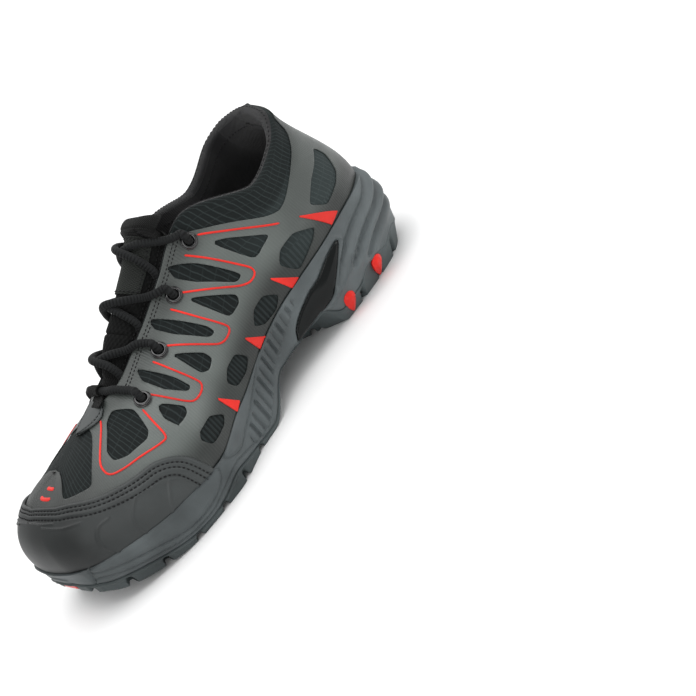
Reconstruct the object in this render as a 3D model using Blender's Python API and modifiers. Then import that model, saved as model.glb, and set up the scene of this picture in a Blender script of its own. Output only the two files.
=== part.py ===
"""Low safety sneaker for the left foot, empty and standing on its sole.

Metres, +Z up. The toe points along -Y, +X is the wearer's left (the outer side of this shoe),
and the origin is on the floor below the middle of the shoe's box.

Every piece is worked out from one last: a table of rows from the toe tip to the back of the
heel. A row gives both sides of the shoe, so a place on the last is a row number t, a side
(+1 outer, -1 inner) and, on the upper, a share v of the way from the sole to the top edge.
"""

import math
from bisect import bisect_right
from collections import namedtuple

import bmesh
import bpy
from mathutils import Vector

# Main sizes
LENGTH = 0.309
BOX_MIDDLE = 0.4898
BOX_MIDDLE_X = 0.0043
BALL_WIDTH = 0.107
HEEL_WIDTH = 0.071
COLLAR_HEIGHT = 0.122
RIM_HEIGHT = 0.050
TOE_SPRING = 0.017
ARCH_HEIGHT = 0.0165
CLEARANCE = 0.0003

# Sole
OUTSOLE_THICKNESS = 0.0100
WAIST_THICKNESS = 0.0028
LUG_DEPTH = 0.0034
LUG_GAP = 0.0050
LUG_FLANK = 0.0012
FOREFOOT_LUGS = 8
HEEL_LUGS = 5
HEEL_FLARE = 0.0095
FORE_FLARE = 0.0018
HEEL_RIM_OUT = 0.0060
FORE_RIM_OUT = 0.0030
RIB_COUNT = 10
RIB_DEPTH = 0.0012
RIB_GAP = 0.0038
FLUTE_COUNT = 4
FLUTE_DEPTH = 0.0016
LEDGE_WIDTH = 0.0050
FOOTBED_DEPTH = 0.0105
BUMPER_WALL = 0.0045
PLATE_WALL = 0.0022
INSOLE_THICKNESS = 0.0040
SOLE_SEAM = 0.0005
SEAM_DISH = 0.0012

# Upper
UPPER_STEP = 0.0012
WALL = 0.0024
COLLAR_PAD = 0.0085
CAP_THICKNESS = 0.0016
TONGUE_THICKNESS = 0.0065
TONGUE_CROWN = 0.0120
TONGUE_RISE = 0.0085
TONGUE_LEAN = 0.0095
TONGUE_TOP_HALF = 0.0178
TAB_THICKNESS = 0.0014

# Lacing
EYELET_RADIUS = 0.0036
EYELET_WIRE = 0.0011
EYELET_LIFT = 0.0007
LACE_RADIUS = 0.0023
LACE_BAR_DROP = 0.20

# Places along the length, as shares from heel to toe
HEEL_BREAST = (0.275, 0.320)
ARCH_END = (0.455, 0.555)
WAIST_BLEND = (0.35, 0.60)
RIB_SPAN = (0.33, 0.575)
FLUTE_END = 0.17
LENS_SPAN = (0.70, 0.96)
PLATE_SPAN = (0.150, 0.355)
BUMPER_END = 0.955
PLUG_HALF_WIDTH = 0.0080
HEEL_PLUGS = (0.162, 0.258)


# Places on the upper, as a row number and a share of the way up
CAP_END = 5.0
EYELETS = ((4.96, 0.71), (5.84, 0.76), (6.88, 0.815), (7.74, 0.83))
TONGUE_ROWS = (4.5, 7.5)
TAB_ROWS = (3.5, 4.45)
SHARES = (0.0, 0.10, 0.24, 0.40, 0.56, 0.70, 0.82, 0.92, 1.0)

Row = namedtuple(
    "Row",
    "f half mid spring rim top_f gap rise top_z low_out low_up high_out high_down cap",
)
# f: share of LENGTH. half: share of the local width. mid, gap: shares of BALL_WIDTH.
# spring: share of TOE_SPRING. rim: share of RIM_HEIGHT. top_f: share of LENGTH.
# rise (how much higher the inner side's edge is), top_z and the four handle lengths: shares
# of COLLAR_HEIGHT. cap: the toe cap's seam, as a share of the way up the upper.
LAST = [
    Row(0.981, 0.000, 0.000, 1.00, 0.64, 0.858, 0.000, 0.000, 0.550, 0.02, 0.19, 0.19, 0.010, 0.660),
    Row(0.976, 0.163, -0.002, 0.88, 0.64, 0.853, 0.000, 0.000, 0.552, 0.02, 0.19, 0.20, 0.010, 0.650),
    Row(0.953, 0.306, -0.004, 0.56, 0.61, 0.840, 0.000, 0.000, 0.556, 0.03, 0.19, 0.21, 0.010, 0.600),
    Row(0.883, 0.421, 0.010, 0.17, 0.53, 0.806, 0.000, 0.000, 0.568, 0.04, 0.19, 0.24, 0.010, 0.440),
    Row(0.796, 0.483, 0.034, 0.00, 0.465, 0.745, 0.000, 0.000, 0.605, 0.04, 0.20, 0.22, 0.020, 0.345),
    Row(0.696, 0.500, 0.040, 0.00, 0.44, 0.673, 0.103, 0.000, 0.640, 0.02, 0.20, 0.13, 0.080, 0.320),
    Row(0.582, 0.437, 0.010, 0.00, 0.55, 0.573, 0.117, 0.000, 0.715, 0.00, 0.20, 0.10, 0.120, 0.0),
    Row(0.479, 0.446, 0.010, 0.00, 0.70, 0.482, 0.131, 0.000, 0.815, 0.00, 0.20, 0.09, 0.150, 0.0),
    Row(0.356, 0.489, 0.007, 0.00, 0.82, 0.370, 0.190, 0.000, 0.945, 0.01, 0.20, 0.05, 0.180, 0.0),
    Row(0.233, 0.493, 0.004, 0.00, 0.90, 0.245, 0.350, 0.035, 0.810, 0.03, 0.16, 0.02, 0.140, 0.0),
    Row(0.123, 0.450, 0.002, 0.00, 0.97, 0.162, 0.345, 0.050, 0.870, 0.03, 0.16, 0.02, 0.140, 0.0),
    Row(0.052, 0.286, 0.000, 0.00, 0.99, 0.104, 0.255, 0.015, 0.955, 0.02, 0.18, 0.00, 0.150, 0.0),
    Row(0.023, 0.000, 0.000, 0.00, 0.99, 0.080, 0.000, 0.000, 0.996, 0.02, 0.18, -0.02, 0.150, 0.0),
]
LAST_ROW = len(LAST) - 1
ODD = {"half", "gap"}


def clamp(value, low=0.0, high=1.0):
    return max(low, min(high, value))


def ease(value, start, end):
    """Smooth step from 0 at start to 1 at end."""
    s = clamp((value - start) / (end - start))
    return s * s * (3 - 2 * s)


def mix(a, b, share):
    return a + (b - a) * share


def slope(before, here, after):
    """Slope that keeps a curve through three even rows from overshooting."""
    d0 = here - before
    d1 = after - here
    return 0.0 if d0 * d1 <= 0 else 2 * d0 * d1 / (d0 + d1)


def column(name, t):
    """A column of the last at row number t, smooth across the toe tip and the heel back."""
    sign = -1.0 if name in ODD else 1.0

    def at(i):
        if i < 0:
            return sign * getattr(LAST[-i], name)
        if i > LAST_ROW:
            return sign * getattr(LAST[2 * LAST_ROW - i], name)
        return getattr(LAST[i], name)

    i = min(int(t), LAST_ROW - 1)
    s = t - i
    m0 = slope(at(i - 1), at(i), at(i + 1))
    m1 = slope(at(i), at(i + 1), at(i + 2))
    h = s * s * (3 - 2 * s)
    return mix(at(i), at(i + 1), h) + s * (1 - s) * ((1 - s) * m0 - s * m1)


def row_at(f):
    """The row number at a share f of the length."""
    low, high = 0.0, float(LAST_ROW)
    for _ in range(40):
        middle = (low + high) / 2
        low, high = (middle, high) if column("f", middle) > f else (low, middle)
    return (low + high) / 2


def spot(f, x):
    """A place in plan from a share of the length and a distance from the axis."""
    return Vector((x - BOX_MIDDLE_X, LENGTH * (BOX_MIDDLE - f)))


def edge(t, side):
    """The outsole's outline in plan."""
    f = column("f", t)
    width = mix(HEEL_WIDTH, BALL_WIDTH, ease(f, *WAIST_BLEND))
    x = column("mid", t) * BALL_WIDTH + side * column("half", t) * width
    return spot(f, x)


def outward(t, side):
    """The direction away from the foot in plan."""
    step = 0.02
    a, b = max(t - step, 0.0), min(t + step, LAST_ROW)
    if t < step:
        along = edge(b, side) - edge(b, -side)
    elif t > LAST_ROW - step:
        along = edge(a, -side) - edge(a, side)
    else:
        along = edge(b, side) - edge(a, side)
    along.normalize()
    return Vector((along.y, -along.x)) * side


def plan(t, side, out=0.0):
    return edge(t, side) + outward(t, side) * out


def spine(t):
    """The centre line that flat faces close on, short of the toe and the heel."""
    f = 0.5 + (column("f", t) - 0.5) * 0.78
    return spot(f, column("mid", t) * BALL_WIDTH)


def arch(t):
    """How far the waist is lifted off the floor, from 0 to 1."""
    f = column("f", t)
    return ease(f, *HEEL_BREAST) * (1 - ease(f, *ARCH_END))


def over_rows(curve, t):
    """A height curve taken straight between the shared rows, so that stacked layers keep their gap."""
    i = min(bisect_right(SHARED_ROWS, t), len(SHARED_ROWS) - 1) - 1
    a, b = SHARED_ROWS[i], SHARED_ROWS[i + 1]
    return mix(curve(a), curve(b), (t - a) / (b - a))


def ground_curve(t):
    return TOE_SPRING * column("spring", t) + ARCH_HEIGHT * arch(t)


def split_curve(t):
    return ground_curve(t) + mix(OUTSOLE_THICKNESS, WAIST_THICKNESS, arch(t))


def rim_curve(t):
    return RIM_HEIGHT * column("rim", t)


def footbed_curve(t):
    f = column("f", t)
    return rim_curve(t) - FOOTBED_DEPTH * mix(1.0, 0.45, ease(f, 0.3, 0.6))


def ground(t):
    return over_rows(ground_curve, t)


def split(t):
    """The line where outsole and midsole meet."""
    return over_rows(split_curve, t)


def rim(t):
    """The line where midsole and upper meet."""
    return over_rows(rim_curve, t)


def footbed(t):
    return over_rows(footbed_curve, t)


def lift(point, z):
    return Vector((point.x, point.y, z))


ARC_STEPS = 480
ARC = [0.0]
for step_number in range(ARC_STEPS):
    t_a = LAST_ROW * step_number / ARC_STEPS
    t_b = LAST_ROW * (step_number + 1) / ARC_STEPS
    ARC.append(ARC[-1] + (edge(t_b, 1) - edge(t_a, 1)).length)


def arc_at(t):
    """Distance round the outline from the toe tip."""
    place = clamp(t / LAST_ROW) * ARC_STEPS
    i = min(int(place), ARC_STEPS - 1)
    return mix(ARC[i], ARC[i + 1], place - i)


def row_at_arc(distance):
    low, high = 0.0, float(LAST_ROW)
    for _ in range(40):
        middle = (low + high) / 2
        low, high = (middle, high) if arc_at(middle) < distance else (low, middle)
    return (low + high) / 2


class Pattern:
    """Evenly spaced bars round the outline between two rows, with flanks between them."""

    def __init__(self, t_start, t_end, count, gap, flank):
        self.start, self.end = arc_at(t_start), arc_at(t_end)
        self.pitch = (self.end - self.start) / count
        self.count, self.gap, self.flank = count, gap, flank

    def rows(self):
        """Row numbers of every corner of the bars."""
        marks = []
        for i in range(1, self.count):
            middle = self.start + i * self.pitch
            for side in (-1, 1):
                marks.append(row_at_arc(middle + side * self.gap / 2))
                marks.append(row_at_arc(middle + side * (self.gap / 2 - self.flank)))
        return marks

    def gap_at(self, t):
        """1 in a gap, 0 on a bar."""
        s = arc_at(t)
        if not self.start + self.pitch / 2 < s < self.end - self.pitch / 2:
            return 0.0
        off = abs((s - self.start + self.pitch / 2) % self.pitch - self.pitch / 2)
        return clamp((self.gap / 2 - off) / self.flank)


def even_rows(t_start, t_end, count):
    return [mix(t_start, t_end, i / count) for i in range(count + 1)]


def add_rows(rows, more):
    """Both lists of row numbers in order, leaving out added ones that fall on a neighbour."""
    kept = list(rows)
    for t in more:
        if all(abs(t - other) > 0.008 for other in kept):
            kept.append(t)
    return sorted(kept)


def new_material(name, colour, roughness, metallic=0.0):
    material = bpy.data.materials.new(name)
    material.use_nodes = True
    shader = material.node_tree.nodes["Principled BSDF"]
    shader.inputs["Base Color"].default_value = (*colour, 1.0)
    shader.inputs["Roughness"].default_value = roughness
    shader.inputs["Metallic"].default_value = metallic
    return material


def place(bm, name, colour, roughness, metallic=0.0, closed=True):
    """Turns a finished bmesh into a named object of the shoe."""
    bmesh.ops.remove_doubles(bm, verts=bm.verts, dist=1e-6)
    if closed:
        bmesh.ops.recalc_face_normals(bm, faces=bm.faces)
    mesh = bpy.data.meshes.new(name)
    bm.to_mesh(mesh)
    bm.free()
    mesh.materials.append(new_material(name, colour, roughness, metallic))
    mesh.shade_smooth()
    mesh.set_sharp_from_angle(angle=math.radians(35))
    thing = bpy.data.objects.new(name, mesh)
    SHOE.objects.link(thing)
    return thing


def loft(bm, sections, closed=False):
    """Skins neighbouring sections; with closed, each section is a loop and the ends are capped."""
    rings = [[bm.verts.new(p) for p in section] for section in sections]
    for a, b in zip(rings, rings[1:]):
        pairs = list(zip(range(len(a)), range(1, len(a))))
        if closed:
            pairs.append((len(a) - 1, 0))
        for i, j in pairs:
            bm.faces.new((a[i], b[i], b[j], a[j]))
    if closed:
        bm.faces.new(rings[0])
        bm.faces.new(reversed(rings[-1]))


def both_ways(rows):
    """Goes round the shoe: toe to heel on the outer side, then back on the inner side."""
    return [(t, 1) for t in rows] + [(t, -1) for t in reversed(rows)]


def over_the_toe(rows):
    """From the inner side over the toe tip to the outer side, with rows that start at the tip."""
    return [(t, -1) for t in reversed(rows)] + [(t, 1) for t in rows[1:]]


def round_the_shoe(rows, section):
    bm = bmesh.new()
    loft(bm, [section(t, side) for t, side in both_ways(rows)])
    return bm


FOREFOOT = Pattern(0.0, row_at(ARCH_END[1] - 0.02), FOREFOOT_LUGS, LUG_GAP, LUG_FLANK)
HEEL = Pattern(row_at(HEEL_BREAST[0] + 0.01), LAST_ROW, HEEL_LUGS, LUG_GAP, LUG_FLANK)
RIBS = Pattern(row_at(RIB_SPAN[1]), row_at(RIB_SPAN[0]), RIB_COUNT, RIB_GAP, RIB_GAP / 2)
LAST_ROWS = add_rows(even_rows(0, 3, 9) + even_rows(9, LAST_ROW, 9), even_rows(3, 9, 12))
PLUG_ROW = row_at_arc(PLUG_HALF_WIDTH)
BUMPER_ROW = row_at(BUMPER_END)
SHARED_ROWS = add_rows(LAST_ROWS, [PLUG_ROW, PLUG_ROW + 0.02, BUMPER_ROW, BUMPER_ROW + 0.02])
SHARED_ROWS = add_rows(SHARED_ROWS, even_rows(*map(row_at, reversed(HEEL_BREAST)), 3))
PLATE_ENDS = (row_at(PLATE_SPAN[1] - 0.012), row_at(PLATE_SPAN[0] + 0.022))


def rows_between(first, last):
    """The shared rows between two row numbers, and the two ends themselves."""
    return [first, *(t for t in SHARED_ROWS if first + 0.01 < t < last - 0.01), last]


def fore(t):
    """0 at the heel and 1 from the waist forwards."""
    return ease(column("f", t), 0.22, 0.42)


def rim_out(t):
    """How far the sole's top edge stands out from the line of its foot."""
    return mix(HEEL_RIM_OUT, FORE_RIM_OUT, fore(t))


def outsole_side(t, share):
    """How far the outsole's side stands out from its foot, from the foot to its top."""
    return mix(HEEL_FLARE * 0.62, FORE_FLARE * 0.8, fore(t)) * share


def outsole_section(t, side):
    low = ground(t)
    deep = LUG_DEPTH * (1 - arch(t))
    gap = max(FOREFOOT.gap_at(t), HEEL.gap_at(t))
    edge_z = low + deep * gap
    inner_z = low + deep * (1 - gap) * ease(arch(t), 1.0, 0.0)
    recess = -PLATE_WALL - CLEARANCE if t < PLUG_ROW + 0.001 else 0.0
    foot = plan(t, side, recess)
    centre = spine(t)
    top = split(t)
    return [
        lift(centre, inner_z),
        lift(foot.lerp(centre, 0.62), inner_z),
        lift(foot.lerp(centre, 0.55), low + deep),
        lift(foot.lerp(centre, 0.36), low + deep),
        lift(foot.lerp(centre, 0.30), edge_z),
        lift(foot, edge_z),
        lift(plan(t, side, recess + outsole_side(t, 0.55)), mix(edge_z, top, 0.55)),
        lift(plan(t, side, recess + outsole_side(t, 1.0)), top),
        lift(centre, top - SEAM_DISH),
    ]


def make_outsole():
    rows = add_rows(SHARED_ROWS, FOREFOOT.rows() + HEEL.rows())
    bm = round_the_shoe(rows, outsole_section)
    return place(bm, "outsole", (0.045, 0.055, 0.065), 0.62)


def plate_edges(f):
    """The arch plate's lower and upper edge on the midsole's side, as shares of its height."""
    start, end = PLATE_SPAN
    s = clamp((f - start) / (end - start))
    low = 0.82 * (1 - clamp(s / 0.66))
    high = mix(0.84, 0.60, s / 0.66) if s < 0.66 else mix(0.60, 0.02, (s - 0.66) / 0.34)
    return low, max(high, low + 0.02)


def midsole_side(t, share):
    """How far the midsole's side stands out from the outline."""
    f = column("f", t)
    swell = math.sin(math.pi * clamp(share))
    lens = ease(f, LENS_SPAN[0], 0.80) * (1 - ease(f, 0.86, LENS_SPAN[1]))
    flute = 1 - ease(f, FLUTE_END * 0.6, FLUTE_END)
    wave = math.cos(2 * math.pi * FLUTE_COUNT * arc_at(t) / ARC[-1] * 3)
    flare = mix(HEEL_FLARE, FORE_FLARE, fore(t))
    foot = outsole_side(t, 1.0) - 0.0006
    out = mix(foot, rim_out(t), share) + (flare - (foot + rim_out(t)) / 2) * swell
    out += 0.0014 * swell * lens
    out += FLUTE_DEPTH * swell * flute * wave
    if RIBS.start < arc_at(t) < RIBS.end:
        out += RIB_DEPTH * clamp(3 * swell) * (0.2 - RIBS.gap_at(t))
    return out


def side_z(t, share):
    return mix(split(t) + SOLE_SEAM, rim(t), share)


def midsole_section(t, side):
    f = column("f", t)
    low, high = plate_edges(f)
    plated = PLATE_SPAN[0] < f < PLATE_SPAN[1]
    dent = PLATE_WALL + CLEARANCE if plated else 0.0
    hollow = BUMPER_WALL + CLEARANCE if t < BUMPER_ROW + 0.001 else 0.0

    def side_point(share, inset=0.0):
        return lift(plan(t, side, midsole_side(t, share) - inset - hollow), side_z(t, share))

    centre = spine(t)
    points = [lift(centre, split(t) + SOLE_SEAM), side_point(0.0)]
    points += [side_point(low * 0.6), side_point(low), side_point(low, dent)]
    points += [side_point(high, dent), side_point(high)]
    points += [side_point(mix(high, 1.0, 0.25)), side_point(mix(high, 1.0, 0.75))]
    points += [
        side_point(1.0),
        lift(plan(t, side, rim_out(t) - LEDGE_WIDTH - hollow * 0.2), rim(t) - 0.0004),
        lift(plan(t, side, rim_out(t) - LEDGE_WIDTH - 0.006), footbed(t)),
        lift(centre, footbed(t)),
    ]
    return points


def make_midsole():
    ends = [row_at(f + shift) for f in PLATE_SPAN for shift in (-0.001, 0.001)]
    rows = add_rows(SHARED_ROWS, ends + RIBS.rows() + list(PLATE_ENDS))
    bm = round_the_shoe(rows, midsole_section)
    return place(bm, "midsole", (0.075, 0.09, 0.10), 0.55)


def make_insole():
    def section(t, side):
        centre = spine(t)
        bed = footbed(t) + CLEARANCE * 2
        return [
            lift(centre, bed),
            lift(plan(t, side, rim_out(t) - LEDGE_WIDTH - 0.0066), bed),
            lift(plan(t, side, rim_out(t) - LEDGE_WIDTH - 0.0044), bed + INSOLE_THICKNESS),
            lift(centre, bed + INSOLE_THICKNESS),
        ]

    bm = round_the_shoe(LAST_ROWS, section)
    return place(bm, "insole", (0.012, 0.012, 0.013), 0.9)


def make_bumper():
    """The rubber guard over the front of the sole, set in the midsole's recess."""

    def section(t, side):
        def at(share, inset):
            return lift(plan(t, side, midsole_side(t, share) - inset), side_z(t, share))

        outer = [at(s, 0.0) for s in (0.03, 0.35, 0.7, 1.0)]
        return [at(0.03, BUMPER_WALL), *outer, at(1.0, BUMPER_WALL)]

    bm = bmesh.new()
    rows = over_the_toe(rows_between(0, BUMPER_ROW - 0.012))
    loft(bm, [section(t, side) for t, side in rows], closed=True)
    return place(bm, "toe_bumper", (0.03, 0.035, 0.04), 0.5)


def make_toe_plug():
    """The red rubber inlay at the front of the outsole."""

    def section(t, side):
        low, high = ground(t), split(t)

        def at(share, inset):
            return lift(plan(t, side, outsole_side(t, share) - inset), mix(low, high, share))

        return [at(0.08, PLATE_WALL), at(0.08, -0.0004), at(0.92, -0.0004), at(0.92, PLATE_WALL)]

    bm = bmesh.new()
    loft(bm, [section(t, side) for t, side in over_the_toe(rows_between(0, PLUG_ROW - 0.012))], closed=True)
    return place(bm, "toe_plug", (0.75, 0.02, 0.03), 0.4)


def make_plate(name, side):
    """One wing of the glossy arch plate, set in the midsole's side."""

    def section(t):
        low, high = plate_edges(column("f", t))

        def at(share, inset):
            return lift(plan(t, side, midsole_side(t, share) - inset), side_z(t, share))

        low, high = low + 0.012, high - 0.012
        skin = 0.0003
        return [at(low, PLATE_WALL), at(low, skin), at(high, skin), at(high, PLATE_WALL)]

    bm = bmesh.new()
    loft(bm, [section(t) for t in rows_between(*PLATE_ENDS)], closed=True)
    return place(bm, name, (0.012, 0.012, 0.014), 0.2)


def make_heel_plug(name, f, side):
    """A red lozenge on the heel's flared side, pointed below."""
    middle = arc_at(row_at(f))
    tall, wide, thick = 0.0082, 0.0095, 0.0012
    outline = [(0.0, 0.0), (0.42, 0.35), (0.50, 0.62), (0.30, 0.95), (0.0, 1.0)]
    outline += [(-x, z) for x, z in reversed(outline[1:-1])]
    loops = []
    for depth, size in ((0.0, 1.0), (thick * 0.6, 0.94), (thick, 0.72)):
        loop = []
        for x, z in outline:
            t = row_at_arc(middle + x * wide * size)
            height = 0.0012 + (0.5 + (z - 0.5) * size) * tall
            share = height / (split(t) - ground(t))
            out = outsole_side(t, share) + CLEARANCE * 2 + depth
            loop.append(lift(plan(t, side, out), ground(t) + height))
        loops.append(loop)
    bm = bmesh.new()
    loft(bm, loops, closed=True)
    return place(bm, name, (0.75, 0.02, 0.03), 0.35)


def upper_point(t, side, v):
    """The outer surface of the upper, from the sole at v 0 to its top edge at v 1."""
    out = outward(t, side)
    step = UPPER_STEP + CAP_THICKNESS * (1 - ease(t, CAP_END - 1.0, CAP_END))
    low = lift(plan(t, side, rim_out(t) - step), rim(t) + CLEARANCE)
    middle = column("mid", t) * BALL_WIDTH
    top = lift(
        spot(column("top_f", t), middle + side * column("gap", t) * BALL_WIDTH),
        COLLAR_HEIGHT * (column("top_z", t) + column("rise", t) * (side < 0)),
    )
    away = lift(out, 0.0)
    up = Vector((0.0, 0.0, COLLAR_HEIGHT))
    a = low + away * (column("low_out", t) * COLLAR_HEIGHT) + up * column("low_up", t)
    b = top + away * (column("high_out", t) * COLLAR_HEIGHT) - up * column("high_down", t)
    w = 1 - v
    return low * w**3 + a * (3 * w * w * v) + b * (3 * w * v * v) + top * v**3


def upper_normal(t, side, v):
    step = 0.02
    t0, t1 = max(t - step, 0.0), min(t + step, LAST_ROW)
    v0, v1 = max(v - step, 0.0), min(v + step, 1.0)
    if t < step:
        along = upper_point(t1, side, v) - upper_point(t1, -side, v)
    elif t > LAST_ROW - step:
        along = upper_point(t0, -side, v) - upper_point(t0, side, v)
    else:
        along = upper_point(t1, side, v) - upper_point(t0, side, v)
    up = upper_point(t, side, v1) - upper_point(t, side, v0)
    return along.cross(up).normalized() * side


def upper_skin(t, side, v, out):
    return upper_point(t, side, v) + upper_normal(t, side, v) * out


def pad_weight(t, v):
    """1 where the collar is fully padded, falling to the plain wall lower down."""
    f = column("f", t)
    return (1 - ease(f, 0.30, 0.40)) * ease(v, 0.45, 0.85)


def wall_at(t, v):
    return mix(WALL, COLLAR_PAD, pad_weight(t, v))


def make_upper():
    """One open skin over the last, given its wall inwards."""
    stations = both_ways(LAST_ROWS)
    bm = bmesh.new()
    layer = bm.verts.layers.deform.verify()
    for t, side in stations:
        for v in SHARES:
            vertex = bm.verts.new(upper_point(t, side, v))
            vertex[layer][0] = pad_weight(t, v)
    bm.verts.ensure_lookup_table()
    high = len(SHARES)
    for i in range(len(stations) - 1):
        for j in range(high - 1):
            a, b = i * high + j, (i + 1) * high + j
            bm.faces.new([bm.verts[k] for k in (a, b, b + 1, a + 1)])
    thing = place(bm, "upper", (0.055, 0.055, 0.05), 0.6, closed=False)
    thing.vertex_groups.new(name="pad")
    wall = thing.modifiers.new("Wall", "SOLIDIFY")
    wall.thickness = COLLAR_PAD
    wall.offset = -1.0
    wall.vertex_group = "pad"
    wall.thickness_vertex_group = WALL / COLLAR_PAD
    return thing


def thicken(thing, thickness, offset):
    wall = thing.modifiers.new("Wall", "SOLIDIFY")
    wall.thickness = thickness
    wall.offset = offset
    return thing


def cap_seam(t):
    """How far up the upper the toe cap reaches, rounded down to the sole at its end."""
    back = clamp((t - CAP_END + 1.0))
    return column("cap", t) * math.sqrt(max(0.0, 1.0 - back * back))


def make_toe_cap():
    rows = rows_between(0, CAP_END - 0.1)
    low = 0.012
    sections = []
    for t, side in over_the_toe(rows):
        reach = max(cap_seam(t), 0.05)
        shares = [low] + [min(v, reach) for v in SHARES[1:7]]
        sections.append([upper_skin(t, side, v, CLEARANCE * 1.3) for v in shares])
    bm = bmesh.new()
    loft(bm, sections)
    cap = place(bm, "toe_cap", (0.05, 0.055, 0.058), 0.5, closed=False)
    return thicken(cap, CAP_THICKNESS, 1.0)


OUT_OF_THROAT = Vector((0.0, -0.68, 0.73))


def throat(t):
    """Points over the foot from the outer flap's underside to the inner flap's at row t.

    Between the flaps the tongue's pad bulges out of the throat, most from the second eyelet up.
    """
    depth = CLEARANCE * 2
    lowest = mix(SHARES[6], 0.96, ease(t, 6.7, TONGUE_ROWS[1]))
    shares = (lowest, (lowest + 1) / 2, 1.0)
    sides = {}
    for side in (-1, 1):
        sides[side] = [upper_skin(t, side, v, -wall_at(t, v) - depth) for v in shares]
    inner, outer = sides[-1], sides[1]
    reach = (outer[2] - inner[2]).length * 0.30
    a = inner[2] + (inner[2] - inner[1]).normalized() * reach
    b = outer[2] + (outer[2] - outer[1]).normalized() * reach
    points = list(outer)
    crown = TONGUE_CROWN * ease(t, 4.4, 6.0)
    for i in range(1, 6):
        s = i / 6
        w = 1 - s
        bulge = OUT_OF_THROAT * (crown * math.sin(math.pi * s) ** 3)
        points.append(outer[2] * w**3 + b * 3 * w * w * s + a * 3 * w * s * s + inner[2] * s**3 + bulge)
    return points + list(reversed(inner))


def tongue_sections():
    """The tongue's upper face, row by row, ending in an arched top that stands above the throat."""
    sections = [throat(t) for t in even_rows(*TONGUE_ROWS, 7)]
    last = sections[-1]
    middle = last[5]
    for share, half in ((0.5, TONGUE_TOP_HALF * 0.68), (1.0, TONGUE_TOP_HALF)):
        top = []
        for k in range(-5, 6):
            crown = (k / 5) ** 2
            lean = TONGUE_LEAN * share * share + 0.003 * crown
            shift = Vector((-k / 5 * half, lean, TONGUE_RISE * share - 0.003 * crown))
            top.append(middle + shift)
        sections.append(top)
    return sections


def make_tongue():
    bm = bmesh.new()
    loft(bm, tongue_sections())
    tongue = place(bm, "tongue", (0.03, 0.035, 0.035), 0.8, closed=False)
    return thicken(tongue, TONGUE_THICKNESS, -1.0)


def make_throat_tab():
    """The leather teardrop over the front of the throat."""
    widths = (0.02, 0.065, 0.090, 0.100, 0.095, 0.075)
    rows = even_rows(*TAB_ROWS, len(widths) - 1)
    height = CLEARANCE * 3
    sections = []
    for t, width in zip(rows, widths):
        inner = [upper_skin(t, -1, 1 - width * k, height) for k in (1.0, 0.5)]
        outer = [upper_skin(t, 1, 1 - width * k, height) for k in (0.5, 1.0)]
        crest = (upper_skin(t, -1, 1.0, height) + upper_skin(t, 1, 1.0, height)) / 2
        sections.append([*reversed(outer), crest, *reversed(inner)])
    bm = bmesh.new()
    loft(bm, sections)
    tab = place(bm, "throat_tab", (0.045, 0.045, 0.045), 0.55, closed=False)
    return thicken(tab, TAB_THICKNESS, 1.0)


def make_eyelet(name, t, v, side):
    normal = upper_normal(t, side, v)
    centre = upper_skin(t, side, v, EYELET_WIRE + EYELET_LIFT)
    bpy.ops.mesh.primitive_torus_add(
        major_segments=10,
        minor_segments=5,
        major_radius=EYELET_RADIUS,
        minor_radius=EYELET_WIRE,
        location=centre,
        rotation=normal.to_track_quat("Z", "Y").to_euler(),
    )
    ring = bpy.context.object
    ring.name = name
    for holder in list(ring.users_collection):
        holder.objects.unlink(ring)
    SHOE.objects.link(ring)
    ring.data.name = name
    ring.data.materials.append(new_material(name, (0.01, 0.01, 0.011), 0.18, 0.7))
    ring.data.shade_smooth()
    return ring


def over_eyelet(i, side):
    t, v = EYELETS[i]
    return upper_skin(t, side, v, EYELET_WIRE * 2 + EYELET_LIFT + CLEARANCE * 2 + LACE_RADIUS)


def over_edge(t, side):
    return upper_skin(t, side, 0.98, CLEARANCE * 5 + LACE_RADIUS)


def over_tongue(t, height, across=5):
    return throat(t)[across] + OUT_OF_THROAT * (height + LACE_RADIUS + CLEARANCE * 3)


def crossing(i, side, lifted):
    """A lace from eyelet i on one side over the tongue to the next eyelet on the other side."""
    t0, t1 = EYELETS[i][0], EYELETS[i + 1][0]
    height = LACE_RADIUS * (1.3 if lifted else 0.2)
    return [
        over_eyelet(i, side),
        over_edge(mix(t0, t1, 0.25), side),
        over_tongue(mix(t0, t1, 0.42), height, 5 - side),
        over_tongue(mix(t0, t1, 0.5), height),
        over_tongue(mix(t0, t1, 0.58), height, 5 + side),
        over_edge(mix(t0, t1, 0.75), -side),
        over_eyelet(i + 1, -side),
    ]


def smooth_path(points, steps):
    """A smooth curve through hand-placed points, sampled evenly between them."""
    path = []
    last = len(points) - 1
    for i in range(last):
        p0, p1, p2, p3 = (points[clamp(k, 0, last)] for k in (i - 1, i, i + 1, i + 2))
        for k in range(steps):
            s = k / steps
            path.append(
                (p1 * 2 + (p2 - p0) * s + (p0 * 2 - p1 * 5 + p2 * 4 - p3) * s * s
                 + (p1 * 3 - p0 - p2 * 3 + p3) * s**3) / 2
            )
    return path + [points[last]]


def make_cord(name, points, steps=3):
    """A round cord as a closed mesh."""
    curve = bpy.data.curves.new(name, "CURVE")
    curve.dimensions = "3D"
    curve.bevel_depth = LACE_RADIUS
    curve.bevel_resolution = 1
    curve.use_fill_caps = True
    path = smooth_path(points, steps)
    spline = curve.splines.new("POLY")
    spline.points.add(len(path) - 1)
    for point, place_at in zip(spline.points, path):
        point.co = (*place_at, 1.0)
    guide = bpy.data.objects.new(name, curve)
    bpy.context.scene.collection.objects.link(guide)
    bpy.context.view_layer.update()
    mesh = bpy.data.meshes.new_from_object(guide.evaluated_get(bpy.context.evaluated_depsgraph_get()))
    bpy.data.objects.remove(guide)
    bm = bmesh.new()
    bm.from_mesh(mesh)
    return place(bm, name, (0.012, 0.012, 0.013), 0.85)


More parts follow.
